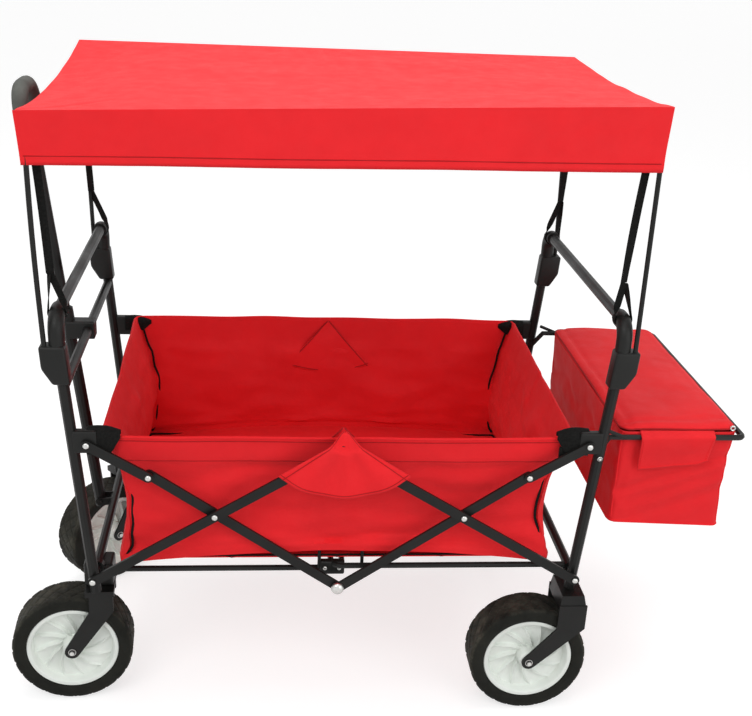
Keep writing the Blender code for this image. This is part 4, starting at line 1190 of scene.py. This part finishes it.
class WAGON_OT_floor_joint(bpy.types.Operator):
    """Add the plastic blocks and bolts where the two floor frames meet"""

    bl_idname = "wagon.floor_joint"
    bl_label = "Floor joint"

    inner_y = 0.2285
    outer_y = 0.2415

    def execute(self, context):
        for side, sy in SIDES.items():
            ys = sorted((sy * self.inner_y, sy * self.outer_y))
            bm = rounded_block((along(-0.029), ys[0], 0.2490), (along(0.013), ys[1], 0.2740), 0.003)
            piece(bm, f"floor_joint_{side}", "plastic", "front_floor", ())
            for x in (-0.020, 0.004):
                bolt = set_on(dome(0.0036, 0.0020), (along(x), sy * self.outer_y, 0.2615), (0, sy, 0))
                tag = "front" if x < 0 else "rear"
                piece(bolt, f"floor_joint_bolt_{tag}_{side}", "silver", "front_floor", ())
            for x, body in ((-0.030, "front_floor"), (0.042, "rear_floor")):
                points = [(along(x), sy * 0.2385, z) for z in (0.262, 0.270, 0.285, 0.296)]
                strut = pipe(bmesh.new(), points, 0.0030, 10)
                piece(strut, f"{body}_strut_{side}", "steel", body, ())
        return {"FINISHED"}


class WAGON_OT_grip(bpy.types.Operator):
    """Shape the foam loop of the pull handle and its collars"""

    bl_idname = "wagon.grip"
    bl_label = "Handle grip"

    def execute(self, context):
        joint = JOINTS["handle_extend"]
        axis = Vector(joint["axis"]).normalized()
        low, high = node_box("handle_grip")
        foot = Vector(JOINTS["handle_tilt"]["pos_m"])
        top = foot + axis * ((high.z - foot.z) / axis.z - 0.001)
        radius = 0.0128
        half_w, half_h, corner = 0.052 - 0.001, 0.036, 0.035
        middle = top - axis * (half_h + radius)
        across = Vector((0, 1, 0))
        outline = []
        for centre_w, centre_h, start in ((half_w - corner, half_h - corner, 0.0),
                                          (-half_w + corner, half_h - corner, 0.5),
                                          (-half_w + corner * 0.7, -half_h + corner * 0.7, 1.0),
                                          (half_w - corner * 0.7, -half_h + corner * 0.7, 1.5)):
            bend = corner if start < 1.0 else corner * 0.7
            for i in range(9):
                angle = math.pi * (start + 0.5 * i / 8)
                outline.append(middle + across * (centre_w + bend * math.cos(angle))
                               + axis * (centre_h + bend * math.sin(angle)))
        bm = pipe(bmesh.new(), outline, radius, 18, True)
        neck = middle - axis * half_h
        reach = (neck.z - low.z) / axis.z - 0.002
        pipe(bm, [neck - axis * reach * share for share in (0.0, 0.26, 0.65, 0.91, 1.0)], radius, 18)
        piece(bm, "foam_grip", "foam", "handle_slider", ["handle_grip"])
        seat = foot + axis * ((node_box("handle_outer_tube")[1].z - foot.z) / axis.z - 0.031)
        steps = (0.0, 0.004, 0.024, 0.028)
        collar = pipe(bmesh.new(), [seat + axis * step for step in steps], radius, 20)
        piece(collar, "handle_collar", "plastic", "handle", ())
        return {"FINISHED"}


# Rear bag


class WAGON_OT_bag(bpy.types.Operator):
    """Loft the soft rear bag, its plump lid, the front flap, the seams and the wire's brackets"""

    bl_idname = "wagon.bag"
    bl_label = "Rear bag"

    corner = 0.014
    lid_corner = 0.016

    def execute(self, context):
        low, high = node_box("bag_body")
        middle = (low + high) / 2
        half_x, half_y = (high.x - low.x) / 2, (high.y - low.y) / 2
        sizes = (half_x, half_y, high.z - low.z)
        count, rings, floor_rings = 280, 34, 9
        bm = bmesh.new()
        rim = outline_ring(bm, half_x, half_y, self.corner, count)
        for _ in range(rings):
            rim, _ = carry_on(bm, rim, 1.0 / rings)
        for left in range(floor_rings, 0, -1):
            rim, moved = carry_on(bm, rim, 0.0)
            bmesh.ops.scale(bm, vec=(left / (left + 1), left / (left + 1), 1.0), verts=moved)
        close_off(bm, rim)
        for vert in bm.verts:
            vert.co = self.place(vert.co, *sizes)
        settle(bm, (middle.x, middle.y, high.z))
        shell = piece(bm, "bag_shell", "bag", "bag", ["bag_body"], 60.0, True)
        with_wall(shell, 0.0018)
        self.seams(middle, high, sizes)
        self.lid()
        self.flap(low, high)
        self.brackets()
        return {"FINISHED"}

    @staticmethod
    def place(co, half_x, half_y, depth):
        """Where a point of the straight bag really hangs."""
        x, y, s = co.x, co.y, -co.z
        u, v = x / half_x, y / half_y
        wall = max(abs(u), abs(v))
        hang = math.sin(math.pi * min(1.0, s)) ** 0.8 if 0 < s < 0.999 else 0.0
        held = smooth((s - 0.10) / 0.14)
        nx = x * (1 - 0.018 * s - 0.045 * max(0.0, u) * hang)
        ny = y * (1 - 0.020 * s)
        dent = 0.0024 * (0.7 + ripple(x, y, s * 0.2, 9.0, 2.2))
        dent += 0.0012 * ripple(x, y, s * 0.3, 26.0, 1.0)
        if abs(u) > abs(v):
            fold = 0.0030 * hump(s, 0.34 + 0.08 * math.sin(9 * v), 0.07) - 0.0020 * hump(s, 0.52, 0.10)
            nx -= math.copysign((max(0.0, dent) + fold) * hang, x)
        else:
            slant = s + 0.21 * u - 0.62
            fold = 0.0048 * hump(slant, -0.16, 0.055) - 0.0040 * hump(slant, 0.0, 0.09)
            fold += 0.0034 * hump(slant, 0.20, 0.06)
            fold += 0.0040 * hump(u, -0.67, 0.05) * (1 - smooth((s - 0.2) / 0.3))
            fold += 0.0030 * hump(u, -0.86, 0.05) * smooth((s - 0.3) / 0.3)
            ny -= math.copysign((max(0.0, dent) + fold) * hang * held, y)
        low_side = 0.0045 * u * smooth((s - 0.6) / 0.4)
        sag = 0.007 * (1 - wall ** 2) if s > 0.999 else 0.0
        return Vector((nx, ny, -s * depth - low_side - sag + 0.0003))

    def seams(self, middle, high, sizes):
        """Seam piping down the corners and round the bottom."""
        half_x, half_y, _ = sizes
        bm = bmesh.new()
        move = Vector((middle.x, middle.y, high.z))
        for _, sx, _, sy in CORNERS:
            corner = Vector((sx * (half_x - 0.0043), sy * (half_y - 0.0043), 0.0))
            points = [self.place(corner - Vector((0, 0, i / 22)), *sizes) + move for i in range(22)]
            pipe(bm, points, 0.0016, 6)
        around = [self.place(Vector((x, y, -0.990)), *sizes) + move
                  for x, y in rounded_outline(half_x, half_y, self.corner, 160)]
        pipe(bm, around, 0.0016, 6, True)
        piece(bm, "bag_seams", "bag", "bag", ())

    lid_rings = [(0.060, 0.0), (0.012, 0.0), (0.004, 0.0003), (0.0006, 0.0022), (0.0, 0.0048),
                 (0.0012, 0.0078), (0.0040, 0.0104), (0.0080, 0.0122), (0.0125, 0.0130),
                 (0.0165, 0.0130), (0.021, 0.0136), (0.027, 0.0143), (0.034, 0.0148),
                 (0.043, 0.0152), (0.053, 0.0154), (0.064, 0.0155), (0.076, 0.0155), (0.088, 0.0155)]

    def lid(self):
        """The padded lid, crowned with soft edges, and its edge binding."""
        low, high = node_box("bag_lid")
        middle = (low + high) / 2
        half_x, half_y = (high.x - low.x) / 2, (high.y - low.y) / 2
        count, last = 320, len(self.lid_rings) - 1
        bm = bmesh.new()
        first = rim = outline_ring(bm, half_x, half_y, self.lid_corner, count)
        for _ in range(last):
            rim, _ = carry_on(bm, rim, -1.0)
        close_off(bm, first, rim)
        for vert in bm.verts:
            vert.co = self.lid_spot(vert.co.x, vert.co.y, int(round(vert.co.z)), half_x, half_y)
        move = Vector((middle.x, middle.y, low.z))
        settle(bm, move)
        cover = piece(bm, "bag_lid_cover", "bag", "bag_cover", ["bag_lid"], 70.0, True)
        edge = [self.lid_spot(x, y, 4, half_x, half_y) + move
                for x, y in rounded_outline(half_x + 0.0006, half_y + 0.0006, self.lid_corner, 200)]
        bm = pipe(bmesh.new(), edge, 0.0015, 6, True)
        piece(bm, "bag_lid_binding", "seam", "bag_cover", ())

    def lid_spot(self, x, y, index, half_x, half_y):
        """A point of the lid from its outline and its ring, with the cloth's soft folds."""
        inset, height = self.lid_rings[index]
        nx = x * (1 - inset / half_x)
        ny = y * (1 - inset / half_y)
        u = x / half_x
        upper = smooth(height / 0.012)
        wavy = 0.0022 * ripple(0.0, y, 0.0, 13.0, 3.0) + 0.0010 * ripple(0.0, y, 0.0, 37.0, 6.0)
        nx += wavy * max(0.0, u) ** 4 * (1 - min(1.0, inset / 0.05))
        crease = 0.0030 * hump(nx, -half_x + 0.017, 0.0045)
        crease += 0.0020 * hump(ny, -half_y + 0.022 + 0.006 * u, 0.005)
        soft = 0.0018 * ripple(nx, ny, 0.0, 9.0, 3.0) + 0.0010 * ripple(nx, ny, 0.0, 24.0, 7.0)
        slant = 0.0016 * math.sin(nx * 42 + ny * 13)
        return Vector((nx, ny, height + upper * (soft + slant - crease - 0.0016)))

    @staticmethod
    def flap(low, high):
        """The flap that comes from under the lid and hangs over the wire."""
        left, right = along(0.4905), along(0.6160)
        top = high.z + 0.0030

        def spot(u, v, proud=0.0):
            drop = mix(0.0690, 0.0585, u) - 0.006 * hump(u, 1.0, 0.10)
            x = mix(left, right, u) - 0.006 * v * smooth((u - 0.5) / 0.5) + 0.002 * v * (1 - u)
            out = mix(0.0008, 0.0132, smooth(v / 0.14))
            out -= 0.0078 * smooth((v - 0.20) / 0.80)
            out += 0.0022 * math.sin(6.0 * u + 1.0) * v
            out += 0.0030 * hump(u, 0.75, 0.28) * smooth((v - 0.6) / 0.4)
            out += 0.0010 * ripple(x, 0.0, v * 0.06, 34.0, 2.0)
            return Vector((x, low.y - max(0.0006, out) - proud, top - drop * v))

        bm = cloth_grid(52, 34, lambda u, v: spot(u, 1 - v))
        obj = piece(bm, "bag_front_flap", "bag", "bag", (), 60.0, True)
        with_wall(obj, 0.0016, 0.0)
        bm = pipe(bmesh.new(), [spot(i / 24, 0.955, 0.0010) for i in range(25)], 0.0007, 5)
        for u in (0.03, 0.97):
            pipe(bm, [spot(u, mix(0.2, 0.955, i / 12), 0.0010) for i in range(13)], 0.0007, 5)
        seam = piece(bm, "bag_flap_seam", "bag", "bag", ())
        ring = turned([(0.0022, 0.0004), (0.0024, 0.0014), (0.0036, 0.0020), (0.0048, 0.0013),
                       (0.0050, -0.0004), (0.0022, -0.0004), (0.0022, 0.0004)], 28, "Z")
        lid_edge = node_box("bag_lid")[0].y - 0.0004
        snap = set_on(ring, (along(0.6480), lid_edge, high.z + 0.0065), (0, -1, 0))
        piece(snap, "bag_snap", "silver", "bag_cover", ())

    @staticmethod
    def brackets():
        """The short struts that brace the bag's wire against the posts."""
        high = node_box("bag_frame")[1]
        for side, sy in SIDES.items():
            foot = Vector((along(0.4330), sy * 0.2475, high.z + 0.0085))
            end = Vector((along(0.4660), sy * (high.y - 0.0050), high.z - 0.0050))
            bm = pipe(bmesh.new(), [foot.lerp(end, i / 4) for i in range(5)], 0.0032, 10)
            piece(bm, f"bag_bracket_{side}", "plastic", "bag", ())


class WAGON_OT_sockets(bpy.types.Operator):
    """Mould the tapered sockets at the post tops with their elbows"""

    bl_idname = "wagon.sockets"
    bl_label = "Post sockets"

    def execute(self, context):
        for end, sx, side, sy in CORNERS:
            name = f"{end}_socket_{side}"
            low_z = node_box(name)[0].z
            bar = sum(node_box(f"{end}_upper_crossbar"), Vector()) / 2
            bm = self.housing(sx, sy, bar.x, low_z)
            self.elbow(bm, sy, bar, low_z + 0.050)
            shell = f"{end}_socket_shell_{side}"
            piece(bm, shell, "plastic", f"{end}_frame", [name], 35.0)
        return {"FINISHED"}

    post_y = 0.262
    lean = 0.0865
    height = 0.062
    half_thick = 0.0138

    def housing(self, sx, sy, top_x, low_z):
        """The block round the post top and the rod's foot, narrow below and wide above."""
        foot = top_x - sx * self.lean * self.height
        outline = [(foot - sx * 0.0128, 0.0), (foot + sx * 0.0135, 0.0), (top_x + sx * 0.0240, 0.026),
                   (top_x + sx * 0.0262, self.height), (top_x - sx * 0.0128, self.height)]
        bm = bmesh.new()
        verts = [bm.verts.new((x, sy * self.post_y - self.half_thick, low_z + z)) for x, z in outline]
        face = bm.faces.new(verts)
        made = bmesh.ops.extrude_face_region(bm, geom=[face])["geom"]
        moved = [item for item in made if isinstance(item, bmesh.types.BMVert)]
        bmesh.ops.translate(bm, verts=moved, vec=(0, 2 * self.half_thick, 0))
        bmesh.ops.recalc_face_normals(bm, faces=bm.faces)
        soften(bm, bm.edges[:], 0.0042, 4)
        return bm

    def elbow(self, bm, sy, bar, start_z):
        """The round bend from the block to the crossbar, with its collar."""
        bend, radius = 0.026, 0.0124
        centre_y = self.post_y - bend
        half_way = (start_z + bar.z - bend) / 2
        points = [(bar.x, sy * self.post_y, start_z), (bar.x, sy * self.post_y, half_way)]
        for i in range(13):
            angle = math.pi / 2 * i / 12
            points.append((bar.x, sy * (centre_y + bend * math.cos(angle)),
                           bar.z - bend + bend * math.sin(angle)))
        points += [(bar.x, sy * (centre_y - reach), bar.z) for reach in (0.004, 0.0115)]
        pipe(bm, points, radius, 24)


# Frame finishes and the stage


class WAGON_OT_frame_finish(bpy.types.Operator):
    """Give every remaining frame node its real finish"""

    bl_idname = "wagon.frame_finish"
    bl_label = "Frame finishes"

    named = {"rim": "white", "grip": "foam", "bag_lid": "bag", "floor_mat": "basket"}

    def execute(self, context):
        slots = {entry["node"]: entry["material_slot"] for entry in frame["record"]["subparts"]}
        for name, obj in frame["nodes"].items():
            key = slots.get(name, "steel")
            finish = FINISHES.get(self.named.get(key, key), FINISHES["steel"])
            if not obj.material_slots:
                obj.data.materials.append(finish)
            for material_slot in obj.material_slots:
                material_slot.material = finish
        return {"FINISHED"}


def seen_rays(tree):
    """1 on rays that see the backdrop: straight, mirrored or through glass."""
    path = tree.nodes.new("ShaderNodeLightPath")
    total = path.outputs["Is Camera Ray"]
    for ray in ("Is Glossy Ray", "Is Transmission Ray"):
        join = tree.nodes.new("ShaderNodeMath")
        join.operation = "MAXIMUM"
        tree.links.new(total, join.inputs[0])
        tree.links.new(path.outputs[ray], join.inputs[1])
        total = join.outputs["Value"]
    return total


class WAGON_OT_stage(bpy.types.Operator):
    """Lay the pale floor, light it softly and place the camera"""

    bl_idname = "wagon.stage"
    bl_label = "Stage"

    def execute(self, context):
        scene = context.scene
        bm = bmesh.new()
        bmesh.ops.create_grid(bm, x_segments=2, y_segments=2, size=14.0)
        bmesh.ops.translate(bm, vec=(0, 6.0, -0.0004), verts=bm.verts)
        mesh = bpy.data.meshes.new("studio_floor")
        bm.to_mesh(mesh)
        bm.free()
        floor = bpy.data.objects.new("studio_floor", mesh)
        scene.collection.objects.link(floor)
        mesh.materials.append(self.paper())
        self.world(scene)
        self.lamp("key_light", (-1.4, -2.8, 3.2), 2.4, 56.0)
        self.lamp("fill_light", (2.2, -2.8, 1.4), 2.6, 34.0)
        self.lamp("top_light", (0.1, 0.3, 3.8), 2.8, 46.0)
        self.camera(scene)
        scene.view_settings.view_transform = "Standard"
        return {"FINISHED"}

    @staticmethod
    def paper():
        """White studio paper that shows as white but keeps the shadow."""
        n = Nodes("studio_paper")
        grain = n.noise(60.0, 3.0)
        tone = n.blend(grain, (0.50, 0.50, 0.50), (0.53, 0.53, 0.53))
        material = n.done(tone, 0.9)
        glow = n.math("MULTIPLY", seen_rays(n.tree), 0.66)
        n.shader.inputs["Emission Color"].default_value = (1, 1, 1, 1)
        n.link(glow, n.shader.inputs["Emission Strength"])
        return material

    @staticmethod
    def world(scene):
        """A white surround for the camera and a dimmer one for the light."""
        world = bpy.data.worlds.new("studio")
        scene.world = world
        world.use_nodes = True
        tree = world.node_tree
        background = tree.nodes["Background"]
        strength = tree.nodes.new("ShaderNodeMapRange")
        strength.inputs["To Min"].default_value = 0.50
        strength.inputs["To Max"].default_value = 1.0
        tree.links.new(seen_rays(tree), strength.inputs["Value"])
        background.inputs["Color"].default_value = (1, 1, 1, 1)
        tree.links.new(strength.outputs["Result"], background.inputs["Strength"])

    @staticmethod
    def lamp(name, at, size, power):
        """A soft square lamp aimed at the wagon."""
        data = bpy.data.lights.new(name, "AREA")
        data.shape = "SQUARE"
        data.size = size
        data.energy = power
        obj = bpy.data.objects.new(name, data)
        bpy.context.scene.collection.objects.link(obj)
        aim = Vector((0.0, 0.0, 0.55)) - Vector(at)
        obj.location = at
        obj.rotation_mode = "QUATERNION"
        obj.rotation_quaternion = aim.to_track_quat("-Z", "Y")

    @staticmethod
    def camera(scene):
        """The photograph's viewpoint."""
        yaw, pitch, roll = (math.radians(angle) for angle in (5.65, -22.41, 2.66))
        image_width, image_height = 752, 716
        focal_pixels = 1132.3
        centre_u, centre_v = 367.0, 376.1
        level = math.cos(pitch)
        ahead = Vector((math.sin(yaw) * level, math.cos(yaw) * level, math.sin(pitch)))
        right = Vector((math.cos(yaw), -math.sin(yaw), 0.0))
        up = right.cross(ahead)
        tilted_right = right * math.cos(roll) + up * math.sin(roll)
        tilted_up = up * math.cos(roll) - right * math.sin(roll)
        data = bpy.data.cameras.new("photo_camera")
        data.sensor_width = 36.0
        data.lens = focal_pixels * data.sensor_width / image_width
        data.shift_x = (image_width / 2 - centre_u) / image_width
        data.shift_y = (centre_v - image_height / 2) / image_width
        data.clip_end = 60.0
        obj = bpy.data.objects.new("photo_camera", data)
        scene.collection.objects.link(obj)
        turn = Matrix((tilted_right, tilted_up, -ahead)).transposed().to_4x4()
        obj.matrix_world = Matrix.Translation((along(-0.1259), -1.8777, 1.2905)) @ turn
        scene.camera = obj


class WAGON_PT_panel(bpy.types.Panel):
    """Lists the wagon's settings and pieces"""

    bl_idname = "WAGON_PT_panel"
    bl_label = "Folding wagon"
    bl_space_type = "VIEW_3D"
    bl_region_type = "UI"
    bl_category = "Wagon"

    def draw(self, context):
        layout = self.layout
        scene = context.scene
        for group in (scene.wagon_colours, scene.wagon_cloth, scene.wagon_wheels):
            for key in group.bl_rna.properties.keys():
                if key not in ("rna_type", "name"):
                    layout.prop(group, key)
        for operator in OPERATORS:
            layout.operator(operator.bl_idname)


OPERATORS = [WAGON_OT_frame_finish, WAGON_OT_canopy, WAGON_OT_canopy_straps, WAGON_OT_basket,
             WAGON_OT_flaps, WAGON_OT_corner_trims, WAGON_OT_tyres, WAGON_OT_rims, WAGON_OT_rivets,
             WAGON_OT_floor_joint, WAGON_OT_grip, WAGON_OT_bag, WAGON_OT_sockets, WAGON_OT_stage]
GROUPS = {"wagon_colours": WagonColours, "wagon_cloth": WagonCloth, "wagon_wheels": WagonWheels}


def register():
    """Make the settings, operators and panel known."""
    for name, group in GROUPS.items():
        bpy.utils.register_class(group)
        setattr(bpy.types.Scene, name, PointerProperty(type=group))
    for cls in OPERATORS + [WAGON_PT_panel]:
        bpy.utils.register_class(cls)


def unregister():
    """Take them away again."""
    for cls in reversed(OPERATORS + [WAGON_PT_panel]):
        bpy.utils.unregister_class(cls)
    for name, group in GROUPS.items():
        delattr(bpy.types.Scene, name)
        bpy.utils.unregister_class(group)


def main():
    """Dress the frame."""
    register()
    make_finishes(bpy.context.scene.wagon_colours)
    bpy.ops.wagon.frame_finish()
    bpy.ops.wagon.canopy()
    bpy.ops.wagon.canopy_straps()
    bpy.ops.wagon.basket()
    bpy.ops.wagon.flaps()
    bpy.ops.wagon.corner_trims()
    bpy.ops.wagon.tyres()
    bpy.ops.wagon.rims()
    bpy.ops.wagon.rivets()
    bpy.ops.wagon.floor_joint()
    bpy.ops.wagon.grip()
    bpy.ops.wagon.bag()
    bpy.ops.wagon.sockets()
    bpy.ops.wagon.stage()


if __name__ == "__main__":
    main()
